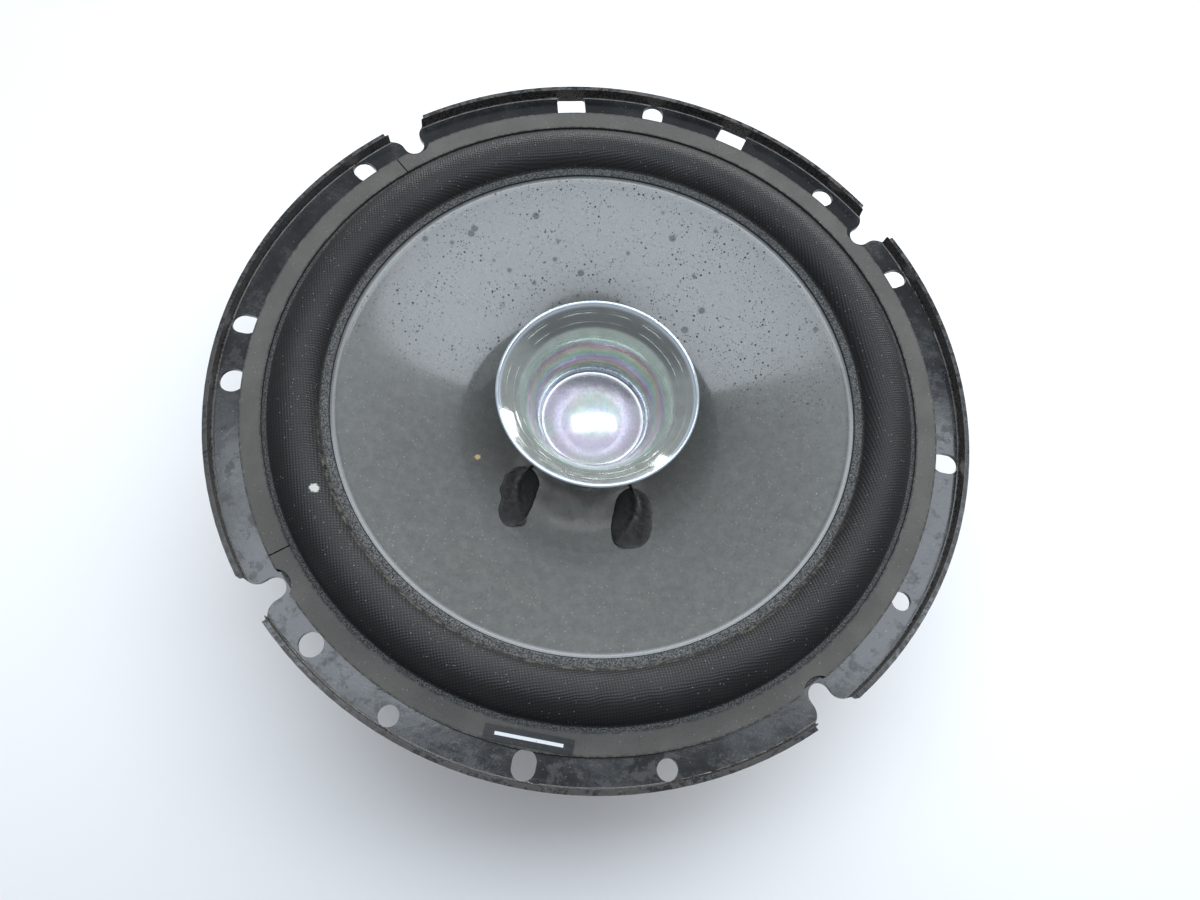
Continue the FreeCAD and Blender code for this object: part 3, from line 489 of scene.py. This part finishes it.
def clear_film():
    """The whizzer's pearly clear film: tinted rings, haze, dark grime, painted shade at the top of its
    far wall and a bright rolled rim.
    """
    g = Graph("clear_film", metallic=0.5, specular_ior_level=0.9, coat_weight=0.6, coat_roughness=0.04)
    drift = g.math("MULTIPLY", g.noise(0.12, 2.0), 0.7)
    rings = g.math("ADD", g.math("MULTIPLY", g.z, 0.24), drift)
    strength = g.band(g.z, -11.0, -3.4, 1.2)
    film = g.mix(g.band(g.z, -3.6, -0.9, 0.5), (0.5, 0.52, 0.51), (0.62, 0.72, 0.64))
    film = g.mix(g.math("MULTIPLY", strength, 0.2), film, rainbow(g, rings))
    film = g.mix(g.ramp(g.z, -0.9, -0.3), film, (0.41, 0.43, 0.4))
    # painted shade: the top of the whizzer's far wall made darker
    painted_far_shade = g.math("MULTIPLY", g.ramp(g.z, -0.7, -0.4), g.ramp(g.y, 6.0, 13.0))
    film = g.mix(painted_far_shade, film, (0.2, 0.21, 0.205))
    lines = g.math("SINE", g.math("MULTIPLY", g.z, 5.2))
    lines = g.math("MULTIPLY", g.ramp(lines, 0.9, 1.0), g.ramp(g.noise(0.14, 2.0), 0.4, 0.6))
    film = g.mix(g.math("MULTIPLY", lines, 0.5), film, (0.85, 0.95, 0.9))
    grime = g.math("MAXIMUM", g.specks(1.3, 0.22, 0.3), g.specks(3.0, 0.3, 0.2))
    grime = g.math("MULTIPLY", grime, g.ramp(g.noise(0.2, 3.0), 0.4, 0.62))
    film = g.mix(g.math("MULTIPLY", grime, 0.7), film, (0.1, 0.1, 0.09))
    rim = g.ramp(g.radius, whizzer_high.x - 1.5, whizzer_high.x - 0.9)
    film = g.mix(rim, film, (0.6, 0.66, 0.72))
    haze = g.ramp(g.noise(0.35, 4.0), 0.3, 0.75, 0.45, 0.65)
    haze = g.math("ADD", haze, g.math("MULTIPLY", strength, 0.15))
    rim_haze = g.math("MULTIPLY", rim, 0.8)
    alpha = g.math("MAXIMUM", haze, g.math("MAXIMUM", rim_haze, g.math("MULTIPLY", grime, 0.9)))
    g.set("Alpha", alpha)
    roughness = g.ramp(g.noise(0.5, 3.0), 0.3, 0.7, 0.06, 0.16)
    return g.finish(film, roughness, g.bump(g.math("ADD", g.noise(0.3, 2.0), lines), 0.05, 0.5))


def pearl_film():
    """The cap in the whizzer's throat: silvery pearl, rosy and bluish, with grime and painted shade on
    its far side and a painted highlight on its bead.
    """
    g = Graph("pearl_film", metallic=0.3, specular_ior_level=0.7, coat_weight=0.6, coat_roughness=0.05)
    clouds = g.math("MULTIPLY", g.noise(0.16, 3.0), 1.1)
    drift = g.math("ADD", g.math("MULTIPLY", g.radius, 0.06), clouds)
    pearl = g.mix(0.1, (0.62, 0.62, 0.66), rainbow(g, drift))
    pearl = g.mix(g.band(g.radius, 6.0, 10.0, 2.0), pearl, (0.66, 0.6, 0.74))
    specks = g.math("MAXIMUM", g.specks(1.5, 0.24, 0.4), g.specks(3.2, 0.3, 0.3))
    grime = g.math("MULTIPLY", specks, g.ramp(g.y, 0.0, 7.0, 0.15, 1.0))
    shaded = g.math("ADD", g.y, g.math("MULTIPLY", g.noise(0.35, 4.0, 0.6), 6.0))
    pearl = g.mix(g.ramp(shaded, 6.0, 12.0, 0.0, 0.75), pearl, (0.14, 0.14, 0.15))
    pearl = g.mix(g.math("MULTIPLY", grime, 0.65), pearl, (0.13, 0.12, 0.11))
    # painted highlight: a near-white ring over the raised bead round the dome
    bead = g.band(g.radius, CAP_R - 0.25, CAP_R + 0.3, 0.1)
    pearl = g.mix(bead, pearl, (0.95, 0.96, 0.98))
    roughness = g.ramp(g.noise(0.6, 4.0), 0.3, 0.7, 0.2, 0.34)
    return g.finish(pearl, roughness, g.bump(g.noise(0.4, 3.0), 0.06, 0.5))


def black_glue():
    """Rubbery black adhesive, glossy where it dried thin and dull in its wrinkles."""
    g = Graph("black_glue", specular_ior_level=0.25)
    wrinkle = g.noise(0.9, 4.0, 0.6, distortion=0.8)
    glue = g.mix(wrinkle, (0.006, 0.006, 0.006), (0.016, 0.016, 0.015))
    glue = g.mix(g.math("MULTIPLY", g.specks(1.8, 0.2, 0.25), 0.5), glue, (0.16, 0.15, 0.12))
    roughness = g.ramp(wrinkle, 0.3, 0.7, 0.3, 0.6)
    return g.finish(glue, roughness, g.bump(wrinkle, 0.16, 0.7))


def glued_brass():
    """Tinned brass behind the cone, black glue over it in front."""
    g = Graph("glued_eyelet", specular_ior_level=0.4)
    front = cone_height(math.hypot(*EYELET)) - CONE_SHEET / 2
    glued = g.ramp(g.z, front - 0.1, front)
    marks = g.noise(1.0, 4.0, 0.65)
    brass = g.mix(marks, (0.5, 0.46, 0.38), (0.76, 0.74, 0.68))
    g.set("Metallic", g.math("SUBTRACT", 1.0, glued))
    colour_value = g.mix(glued, brass, (0.011, 0.011, 0.011))
    return g.finish(colour_value, g.ramp(marks, 0.3, 0.7, 0.25, 0.45), g.bump(marks, 0.05, 0.6))


def clear_adhesive():
    g = Graph("clear_adhesive", specular_ior_level=0.6, coat_weight=0.4, coat_roughness=0.1)
    lumps = g.noise(0.5, 3.0, 0.6)
    glue = g.mix(lumps, (0.03, 0.027, 0.02), (0.09, 0.08, 0.06))
    return g.finish(glue, g.ramp(lumps, 0.3, 0.7, 0.2, 0.4), g.bump(lumps, 0.2, 0.6))


def spider_cloth():
    """Amber resin-dipped cotton with an open weave."""
    g = Graph("spider_cloth", sheen_weight=0.1, sheen_roughness=0.5, specular_ior_level=0.3)
    threads = weave(g, 0.7, 0.2)
    cloth = g.mix(threads, (0.2, 0.1, 0.025), (0.52, 0.32, 0.11))
    stain = g.ramp(g.noise(0.12, 4.0, 0.6), 0.4, 0.75, 0.0, 0.5)
    cloth = g.mix(stain, cloth, (0.24, 0.12, 0.035))
    glue = g.math("MAXIMUM", g.ramp(g.radius, 36.4, 36.9), g.ramp(g.radius, 14.2, 14.8, 1.0, 0.0))
    cloth = g.mix(g.math("MULTIPLY", glue, 0.7), cloth, (0.07, 0.045, 0.02))
    return g.finish(cloth, g.ramp(threads, 0.2, 0.8, 0.85, 0.6), g.bump(threads, 0.16, 0.9))


def zinc_steel():
    """Bright zinc plate with a faint yellow passivation, brushed in circles and a little stained."""
    g = Graph("zinc_steel", metallic=1.0)
    spun = g.node("CombineXYZ", {0: g.math("MULTIPLY", g.radius, 3.0), 2: g.math("MULTIPLY", g.z, 2.0)})
    lines = g.noise(1.6, 3.0, 0.6, spun.outputs[0])
    stain = g.ramp(g.noise(0.09, 4.0, 0.6), 0.4, 0.7)
    steel = g.mix(stain, (0.6, 0.59, 0.55), (0.44, 0.42, 0.36))
    spots = g.math("MULTIPLY", g.specks(0.5, 0.2, 0.2), g.ramp(g.noise(0.08, 3.0), 0.45, 0.6))
    steel = g.mix(g.math("MULTIPLY", spots, 0.8), steel, (0.16, 0.1, 0.06))
    roughness = g.math("ADD", g.ramp(lines, 0.3, 0.7, 0.28, 0.42), g.math("MULTIPLY", spots, 0.3))
    return g.finish(steel, roughness, g.bump(lines, 0.02, 0.5))


def ferrite():
    """Dull charcoal ceramic with a ground face, fine pores and small chips at its edges."""
    g = Graph("ferrite", specular_ior_level=0.45)
    grain = g.noise(2.0, 5.0, 0.7)
    body = g.mix(grain, (0.028, 0.028, 0.03), (0.062, 0.062, 0.065))
    pores = g.specks(1.4, 0.2, 0.3)
    body = g.mix(pores, body, (0.012, 0.012, 0.012))
    magnet_low, magnet_high = box_mm("magnet")
    far = g.ramp(g.radius, magnet_high.x - 0.9, magnet_high.x - 0.5)
    ends = g.math("MAXIMUM", g.ramp(g.z, magnet_low.z + 0.9, magnet_low.z + 0.4),
                  g.ramp(g.z, magnet_high.z - 0.9, magnet_high.z - 0.4))
    chips = g.math("MULTIPLY", g.math("MULTIPLY", far, ends), g.ramp(g.noise(0.5, 4.0), 0.5, 0.62))
    body = g.mix(g.math("MULTIPLY", chips, 0.8), body, (0.16, 0.16, 0.165))
    height = g.math("SUBTRACT", grain, g.math("MAXIMUM", pores, chips))
    return g.finish(body, g.ramp(grain, 0.3, 0.7, 0.5, 0.72), g.bump(height, 0.09, 0.8))


def paper_label():
    """A plain round paper label with two printed rings."""
    g = Graph("paper_label", specular_ior_level=0.3)
    fibres = g.noise(2.4, 5.0, 0.7)
    paper = g.mix(fibres, (0.6, 0.59, 0.55), (0.74, 0.73, 0.7))
    paper = g.mix(g.ramp(g.noise(0.1, 4.0), 0.5, 0.75, 0.0, 0.4), paper, (0.5, 0.43, 0.3))
    rings = g.math("MAXIMUM", g.band(g.radius, 16.9, 17.3, 0.06), g.band(g.radius, 7.4, 7.7, 0.06))
    rings = g.math("MULTIPLY", rings, g.ramp(g.noise(2.0, 3.0), 0.25, 0.4))
    paper = g.mix(rings, paper, (0.03, 0.035, 0.05))
    return g.finish(paper, g.ramp(fibres, 0.3, 0.7, 0.6, 0.85), g.bump(fibres, 0.04, 0.6))


def plain_metal(name, low, high, roughness, grain=1.4, tarnish=(0.2, 0.15, 0.09)):
    """Small hardware: uneven plating, tarnish in patches and fine tool marks."""
    g = Graph(name, metallic=1.0)
    marks = g.noise(grain, 4.0, 0.65)
    metal = g.mix(marks, low, high)
    patches = g.ramp(g.noise(0.45, 4.0), 0.52, 0.7, 0.0, 0.6)
    metal = g.mix(patches, metal, tarnish)
    rubbed = g.ramp(marks, 0.3, 0.7, roughness * 0.7, roughness * 1.3)
    rough = g.math("ADD", rubbed, g.math("MULTIPLY", patches, 0.2))
    return g.finish(metal, rough, g.bump(marks, 0.04, 0.6))


def fibre_board():
    """Brown paper laminate: fibres along the board and pale punched edges."""
    g = Graph("fibre_board", specular_ior_level=0.4)
    fibres = g.noise(1.4, 5.0, 0.7, g.vector("MULTIPLY", g.place, (0.3, 2.0, 4.0)))
    board = g.mix(fibres, (0.11, 0.052, 0.022), (0.21, 0.11, 0.05))
    board = g.mix(g.math("MULTIPLY", g.specks(1.6, 0.2, 0.2), 0.5), board, (0.3, 0.2, 0.11))
    return g.finish(board, g.ramp(fibres, 0.3, 0.7, 0.4, 0.6), g.bump(fibres, 0.06, 0.7))


def coil_foil():
    """Bluish aluminium foil of the coil former, rubbed, with its lap seam."""
    g = Graph("coil_former_foil", metallic=0.9)
    rub = g.noise(0.8, 4.0, 0.6)
    foil = g.mix(rub, (0.4, 0.46, 0.52), (0.56, 0.63, 0.7))
    seam = g.band(g.angle(), 0.9, 0.98, 0.01)
    foil = g.mix(g.math("MULTIPLY", seam, 0.6), foil, (0.2, 0.22, 0.25))
    return g.finish(foil, g.ramp(rub, 0.3, 0.7, 0.2, 0.4), g.bump(g.math("ADD", rub, seam), 0.05, 0.6))


def coil_wire():
    """Enamelled copper wound turn by turn."""
    g = Graph("enamelled_copper", metallic=1.0, coat_weight=0.5, coat_roughness=0.1)
    turns = g.math("SINE", g.math("MULTIPLY", g.z, 2 * math.pi / 0.3))
    turns = g.math("MULTIPLY_ADD", turns, 0.5, 0.5)
    wire = g.mix(turns, (0.2, 0.06, 0.02), (0.66, 0.27, 0.12))
    wire = g.mix(g.ramp(g.noise(0.5, 3.0), 0.4, 0.7, 0.0, 0.4), wire, (0.4, 0.14, 0.06))
    return g.finish(wire, g.ramp(turns, 0.0, 1.0, 0.45, 0.22), g.bump(turns, 0.12, 0.9))


def tinsel_braid():
    """Tinned copper tinsel: bright threads with copper showing through."""
    g = Graph("tinsel_braid", metallic=1.0)
    threads = g.noise(3.0, 3.0, 0.7, g.vector("MULTIPLY", g.place, (1.0, 0.5, 1.0)))
    braid = g.mix(threads, (0.3, 0.16, 0.09), (0.72, 0.69, 0.64))
    return g.finish(braid, g.ramp(threads, 0.3, 0.7, 0.5, 0.28), g.bump(threads, 0.1, 0.8))


MATERIALS = {
    "black_painted_steel": black_paint(),
    "gasket_card": gasket_card(),
    "dark_label": label_film(),
    "surround_cloth": surround_cloth(),
    "spider_cloth": spider_cloth(),
    "zinc_plated_steel": zinc_steel(),
    "ferrite": ferrite(),
    "paper_label": paper_label(),
    "rivet_steel": plain_metal("rivet_steel", (0.34, 0.34, 0.35), (0.56, 0.56, 0.55), 0.34),
    "fibre_board": fibre_board(),
    "tinned_brass": plain_metal("tinned_brass", (0.58, 0.56, 0.5), (0.78, 0.76, 0.7),
                                0.26, 1.0, (0.5, 0.36, 0.16)),
    "solder": plain_metal("solder", (0.5, 0.5, 0.52), (0.76, 0.76, 0.78),
                          0.2, 0.7, (0.3, 0.3, 0.3)),
    "tinsel_braid": tinsel_braid(),
    "cone_polypropylene": cone_plastic(),
    "clear_film": clear_film(),
    "pearl_film": pearl_film(),
    "coil_former_foil": coil_foil(),
    "enamelled_copper": coil_wire(),
    "clear_adhesive": clear_adhesive(),
    "black_glue": black_glue(),
}

CAD_FINISH = {
    "basket": "black_painted_steel",
    "gasket_short_arc": "gasket_card",
    "gasket_long_arc": "gasket_card",
    "gasket_label": "dark_label",
    "top_plate": "zinc_plated_steel",
    "magnet": "ferrite",
    "yoke": "zinc_plated_steel",
    "rear_label": "paper_label",
    "motor_rivets": "rivet_steel",
    "terminal_board": "fibre_board",
    "terminal_tab_positive": "tinned_brass",
    "terminal_tab_negative": "tinned_brass",
    "terminal_rivets": "rivet_steel",
    "board_rivet": "rivet_steel",
    "solder_joints": "solder",
    "coil_former": "coil_former_foil",
    "coil_winding": "enamelled_copper",
    "neck_adhesive": "clear_adhesive",
    "cone_eyelets": "tinned_brass",
    "coil_lead_positive": "enamelled_copper",
    "coil_lead_negative": "enamelled_copper",
}

COVERED = {
    "cone_eyelets": glued_brass(),
    "coil_lead_positive": MATERIALS["black_glue"],
    "coil_lead_negative": MATERIALS["black_glue"],
}


def dress_cad_nodes():
    """Finishes the pieces kept from the CAD model; those under the glue show the glue."""
    for name, finish in CAD_FINISH.items():
        mesh = nodes[name].data
        mesh.materials.clear()
        mesh.materials.append(COVERED.get(name, MATERIALS[finish]))


# ---------------------------------------------------------------- pieces


def place_piece(piece, body=None, stands_for=()):
    """Hangs the piece on the body it rides on, if one is given, and hides the CAD nodes it stands for.
    """
    if body:
        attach(piece, body)
    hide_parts(*stands_for)
    return piece


def surround():
    """The cloth half roll, with its pressed lands and the soft feet of the roll."""
    outer, inner = ROLL_OUTER_R, LAND_R[1]
    front_z = surround_low.z + CLOTH
    rim_z = CONE_EDGE[1]
    middle = (outer + inner) / 2
    crest = surround_high.z
    edge = 0.15
    front = [(surround_high.x, front_z - edge), (surround_high.x - edge, front_z)]
    front += [(outer + 0.9 - 0.3 * i, front_z) for i in range(2)]
    outer_foot = (outer + CLOTH / 2, front_z)
    inner_foot = (inner - CLOTH / 2, rim_z + CLOTH)
    front += arc_through(outer_foot, (middle, crest), inner_foot, 61)
    front += [(inner - 0.6, rim_z + CLOTH - 0.04), (LAND_R[0] + 0.5, rim_z + CLOTH - 0.05)]
    front += [(LAND_R[0] + 0.15, rim_z + 0.3), (LAND_R[0], rim_z + 0.08), (LAND_R[0], rim_z)]
    rear = [(inner, rim_z)]
    rear += arc_through((inner, rim_z), (middle, crest - CLOTH), (outer, surround_low.z), 31)[1:]
    rear += [(surround_high.x, surround_low.z)]

    def uneven(x, y, z):
        radius = np.hypot(x, y)
        turn = np.arctan2(y, x)
        drift = np.array([wander(a, 3.0, 5.0) for a in turn[:, 0]])[:, None]
        on_roll = np.clip(np.minimum(radius - inner, outer - radius) / 2.5, 0, 1)
        return x, y, z - np.abs(drift) * 0.1 * on_roll

    piece = turned("surround_roll", front + rear, MATERIALS["surround_cloth"], 360, 50, uneven)
    blend_radially(piece, outer, inner)
    return place_piece(piece, None, ["surround"])


def cone():
    """The cone's shallow curved shell, with a small moulded bead by its edge."""
    front = []
    steps = 109
    for i in range(steps + 1):
        radius = CONE_NECK[0] + (CONE_EDGE[0] - CONE_NECK[0]) * i / steps
        bead = 0.14 * math.exp(-(((radius - 56.5) / 0.35) ** 2))
        front.append((radius, cone_height(radius) + bead))
    rim = cone_high.x
    front += [(CONE_EDGE[0] + 0.4, CONE_EDGE[1]), (rim - 0.1, CONE_EDGE[1]), (rim, CONE_EDGE[1] - 0.1)]
    front += [(rim, CONE_EDGE[1] - CONE_SHEET), (CONE_EDGE[0], CONE_EDGE[1] - CONE_SHEET)]
    rear = []
    steps = 59
    rear_edge = CONE_EDGE[0] - 0.6
    for i in range(steps + 1):
        radius = rear_edge - (rear_edge - CONE_NECK[0]) * i / steps
        rear.append((radius, cone_height(radius) - CONE_SHEET / math.cos(math.atan(CONE_SLOPE))))
    rear[-1] = (CONE_NECK[0], max(rear[-1][1], cone_low.z))
    piece = turned("cone_shell", front + rear, MATERIALS["cone_polypropylene"], 360, 40)
    return place_piece(piece, "moving_cone", ["cone"])


def whizzer():
    """The clear flared cup: collar, ribbed throat, flared wall and a rolled rim bead."""
    foot = (former_high.x, whizzer_low.z)
    collar = (former_high.x, former_high.z)
    rim = (whizzer_high.x - WHIZZER_SHEET, whizzer_high.z - 0.12)
    waist_slope = (3.4, 7.6)
    lower = hermite(collar, WHIZZER_WAIST, (0.0, 9.0), waist_slope, 40)
    upper = hermite(WHIZZER_WAIST, rim, (5.6, 12.5), (8.0, 6.0), 48)
    wall = [foot] + lower + upper[1:]
    ribbed = []
    for radius, height in wall:
        rib = sum(math.exp(-(((height - level) / 0.22) ** 2)) for level in (-10.4, -8.6, -6.7, 0.4))
        ribbed.append((radius + 0.07 * rib, height))
    section = thickened(ribbed, WHIZZER_SHEET)
    bead = 0.4
    centre = (whizzer_high.x - bead, whizzer_high.z - bead)
    half = len(ribbed)
    circle = []
    for i in range(13):
        turn = math.radians(215 - 250 * i / 12)
        circle.append((centre[0] + bead * math.cos(turn), centre[1] + bead * math.sin(turn)))
    section = section[: half - 2] + circle + section[half + 2:]
    piece = turned("whizzer_cup", section, MATERIALS["clear_film"], 256, 60)
    return place_piece(piece, "moving_cone", ["whizzer_cone"])


def dust_cap():
    """A shallow dome with a raised ring round it, inside the former."""
    dome_foot = (CAP_R - 0.3, CAP_EDGE_Z + 0.1)
    dome = arc_through(dome_foot, (CAP_R * 0.52, cap_high.z - 1.05), (0.0, cap_high.z), 40)
    ring = []
    for i in range(9):
        turn = math.pi * i / 8
        ring.append((CAP_R + 0.12 + 0.3 * math.cos(turn), CAP_EDGE_Z + 0.1 + 0.28 * math.sin(turn)))
    flat = [(cap_high.x, cap_low.z), (cap_high.x, CAP_EDGE_Z)]
    under_foot = (CAP_R - 0.8, CAP_EDGE_Z - 0.3)
    under = arc_through((0.0, cap_high.z - 0.35), (CAP_R * 0.5, cap_high.z - 1.45), under_foot, 24)
    section = flat + ring + dome[1:] + under + [(under_foot[0], cap_low.z)]
    piece = turned("dust_cap_dome", section, MATERIALS["pearl_film"], 192, 50)
    return place_piece(piece, "moving_cone", ["dust_cap"])


def spider():
    """The corrugated centring ring."""
    base = (spider_low.z + spider_high.z - SPIDER_SHEET) / 2
    depth = (spider_high.z - spider_low.z - SPIDER_SHEET) / 2
    inner, outer = SPIDER_ROLLS_R
    line = [(spider_high.x, base), (outer + 1.4, base)]
    steps = 139
    for i in range(steps + 1):
        share = i / steps
        fade = min(1, share * 12, (1 - share) * 12)
        height = base + depth * math.sin(share * SPIDER_ROLLS * 2 * math.pi) * fade
        line.append((outer - (outer - inner) * share, height))
    line += [(inner - 1.0, base), (former_high.x, base)]
    section = thickened(line, SPIDER_SHEET * 0.98)
    piece = turned("spider_rolls", section, MATERIALS["spider_cloth"], 256, 60)
    blend_radially(piece, outer + 1.4, inner - 1.0)
    return place_piece(piece, None, ["spider"])


def dab_outline(turn, side):
    """Reach of a glue dab by direction: the left one a narrow drop, the right one broad and bent."""
    across, along = DAB_HALF
    if side < 0:
        across *= 0.84 + 0.1 * math.sin(turn)
    else:
        across *= 0.96 - 0.05 * math.sin(turn)
    fullness = 2.3
    flat = abs(math.cos(turn) / across) ** fullness + abs(math.sin(turn) / along) ** fullness
    reach = flat ** (-1 / fullness)
    return reach * min(1.0, 0.95 + 0.07 * wander(turn, 7.0 + side, 1.6))


def glue_over_lead(x, y, side):
    """Extra height of the glue where it covers the coil lead and the eyelet, in millimetres."""
    centre_y, centre_x, radius = circle_of(*LEAD_PATH)
    ridge_height, ridge_reach = 0.44, 0.8
    mound_height, mound_flat, mound_slope = 0.26, 1.6, 1.0
    away = math.hypot(x * side - centre_x, y - centre_y) - radius
    lumps = 0.9 + 0.5 * noise.noise(Vector((x * 0.7, y * 0.7, side * 3.0)))
    ridge = ridge_height * math.exp(-((away / ridge_reach) ** 2)) * lumps
    off_eyelet = math.hypot(x * side - EYELET[0], y - EYELET[1])
    fall = min(1, max(0, (off_eyelet - mound_flat) / mound_slope))
    return max(ridge, mound_height * (1 - fall ** 2))


def glue_dab(side, name):
    """Black glue spread over one coil lead: a thin glossy film with the lead's ridge in it."""
    rings, steps = 30, 84
    top, bottom = [], []
    centre_x, centre_y = DAB_CENTRE[0] * side, DAB_CENTRE[1]
    thickness, tallest, sunk = 0.4, 1.25, 0.12
    for i in range(rings + 1):
        share = i / rings
        for j in range(steps):
            turn = 2 * math.pi * j / steps
            reach = dab_outline(turn, side) * share
            x = centre_x + reach * math.cos(turn)
            y = centre_y + reach * math.sin(turn)
            ground = cone_height(math.hypot(x, y))
            edge = (1 - share ** 5) ** 0.8
            wrinkle = 0.06 + 0.12 * noise.noise(Vector((x * 0.8, y * 0.8, 5.0 + side)))
            height = (thickness + max(0.0, wrinkle) + glue_over_lead(x, y, side)) * edge
            top.append((x, y, ground + min(height, tallest)))
            bottom.append((x, y, ground - sunk))
    count = len(top)
    sheet = grid_faces(rings + 1, steps, False, True)
    faces = sheet + [tuple(count + k for k in reversed(face)) for face in sheet]
    outer = rings * steps
    for j in range(steps):
        k = (j + 1) % steps
        faces.append((outer + j, outer + k, count + outer + k, count + outer + j))
    piece = mesh_object("glue_film_" + name, top + bottom, faces, MATERIALS["black_glue"], 60)
    return place_piece(piece, "moving_cone", ["glue_dab_" + name])


def smooth_route(points, name):
    """Points read from the NURBS curve whose control points are given, in millimetres."""
    curve = bpy.data.curves.new(name, "CURVE")
    curve.dimensions = "3D"
    curve.resolution_u = 12
    spline = curve.splines.new("NURBS")
    spline.points.add(len(points) - 1)
    for control, point in zip(spline.points, points):
        control.co = (*point, 1.0)
    spline.order_u = 3
    spline.use_endpoint_u = True
    holder = bpy.data.objects.new(name, curve)
    bpy.context.scene.collection.objects.link(holder)
    bpy.context.view_layer.update()
    line = bpy.data.meshes.new_from_object(holder)
    route = [v.co.copy() for v in line.vertices]
    bpy.data.objects.remove(holder)
    bpy.data.meshes.remove(line)
    bpy.data.curves.remove(curve)
    return route


def tinsel_lead(side, name):
    """A flexible lead from the cone's eyelet to its tab: a rope of six threads."""
    tab_top = box_mm("terminal_tab_" + name)[1].z
    start = Vector((side * EYELET[0], EYELET[1], cone_height(math.hypot(*EYELET))))
    centre = Vector((start.x, start.y, 0)).normalized() * CONE_CIRCLE[0]
    centre.z = CONE_CIRCLE[1]
    out = (start - centre).normalized()
    start -= out * 0.8
    end = Vector((side * TAB_JOINT[0], TAB_JOINT[1], tab_top + TINSEL_R))
    droop = [Vector((side * 10.6, -36.0, -14.0)), Vector((side * 9.4, -41.0, -13.6))]
    route = smooth_route([start, start - out * 4.0, *droop, end], "tinsel_route")
    steps = 24
    strands, lay = 6, 7.0
    points = []
    before = None
    across = Vector((1, 0, 0))
    travelled = 0.0
    for i, point in enumerate(route):
        ahead = route[min(i + 1, len(route) - 1)] - route[max(i - 1, 0)]
        ahead.normalize()
        across = (across - ahead * across.dot(ahead)).normalized()
        up = ahead.cross(across)
        travelled += (point - before).length if before else 0.0
        before = point
        twist = travelled * 2 * math.pi / lay
        for j in range(steps):
            turn = 2 * math.pi * j / steps
            reach = TINSEL_R * (0.86 + 0.13 * math.cos(strands * (turn + twist)))
            spoke = across * math.cos(turn) + up * math.sin(turn)
            points.append(tuple(point + spoke * reach))
    faces = grid_faces(len(route), steps, False, True)
    faces.append(tuple(range(steps)))
    faces.append(tuple((len(route) - 1) * steps + j for j in reversed(range(steps))))
    piece = mesh_object("tinsel_rope_" + name, points, faces, MATERIALS["tinsel_braid"], 70)
    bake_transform(piece)
    return place_piece(piece, None, ["tinsel_lead_" + name])


# ---------------------------------------------------------------- stage, light and camera


def stage():
    """A plain pale floor under the object."""
    g = Graph("pale_floor", specular_ior_level=0.2)
    tone = g.mix(g.noise(0.01, 3.0), (0.86, 0.86, 0.87), (0.9, 0.9, 0.9))
    g.finish(tone, g.ramp(g.noise(0.02, 3.0), 0.3, 0.7, 0.7, 0.85))
    half_width, gap = 6.0, 0.0002
    mesh = bpy.data.meshes.new("floor")
    signs = ((-1, -1), (1, -1), (1, 1), (-1, 1))
    corners = [(x * half_width, y * half_width, cad_low.z - gap) for x, y in signs]
    mesh.from_pydata(corners, [], [(0, 1, 2, 3)])
    mesh.materials.append(g.material)
    floor = bpy.data.objects.new("floor", mesh)
    bpy.context.scene.collection.objects.link(floor)


def panel(name, place, size, power, tint=(1, 1, 1), target=(0, 0, 0), spin=0.0):
    """A rectangular soft light at place, facing the target and spun about its own axis by degrees."""
    light = bpy.data.lights.new(name, "AREA")
    light.shape = "RECTANGLE"
    light.size, light.size_y = size
    light.energy = power
    light.color = tint
    lamp = bpy.data.objects.new(name, light)
    lamp.location = place
    lamp.rotation_mode = "QUATERNION"
    look = (Vector(target) - Vector(place)).to_track_quat("-Z", "Y")
    lamp.rotation_quaternion = look @ Quaternion((0, 0, 1), math.radians(spin))
    lamp.visible_camera = False
    bpy.context.scene.collection.objects.link(lamp)


def lighting():
    world = bpy.data.worlds.new("studio")
    world.use_nodes = True
    background = world.node_tree.nodes["Background"]
    background.inputs["Color"].default_value = (0.9, 0.94, 1.0, 1.0)
    background.inputs["Strength"].default_value = 0.42
    bpy.context.scene.world = world
    above = (0.03, 0.045)
    panel("overhead", (*above, 0.3), (0.44, 0.165), 1.12, (0.83, 0.915, 1.0), (*above, 0.0), 14)
    panel("far_window", (0.1, 1.5, 0.52), (2.4, 0.56), 33, (0.97, 0.99, 1.0))
    bpy.context.scene.view_settings.view_transform = "Standard"


def camera():
    """Seen from the near side and well above, a little turned and rolled."""
    elevation, roll, turn = (math.radians(a) for a in (68.611, 13.546, -2.462))
    distance = 194.2
    aim = Vector((3.414, -12.733, 1.0))
    offset = Vector((0, -math.cos(elevation), math.sin(elevation))) * distance
    data = bpy.data.cameras.new("camera")
    data.lens = 27.169
    data.sensor_width = 36.0
    data.clip_start = 0.01
    data.clip_end = 50.0
    eye = bpy.data.objects.new("camera", data)
    look = Matrix.Rotation(math.pi / 2 - elevation, 4, "X") @ Matrix.Rotation(roll, 4, "Z")
    eye.matrix_world = Matrix.Rotation(turn, 4, "Z") @ Matrix.Translation((aim + offset) * MM) @ look
    bpy.context.scene.collection.objects.link(eye)
    bpy.context.scene.camera = eye


camera()
dress_cad_nodes()
surround()
cone()
whizzer()
dust_cap()
spider()
for side, name in ((1, "positive"), (-1, "negative")):
    glue_dab(side, name)
    tinsel_lead(side, name)
stage()
lighting()
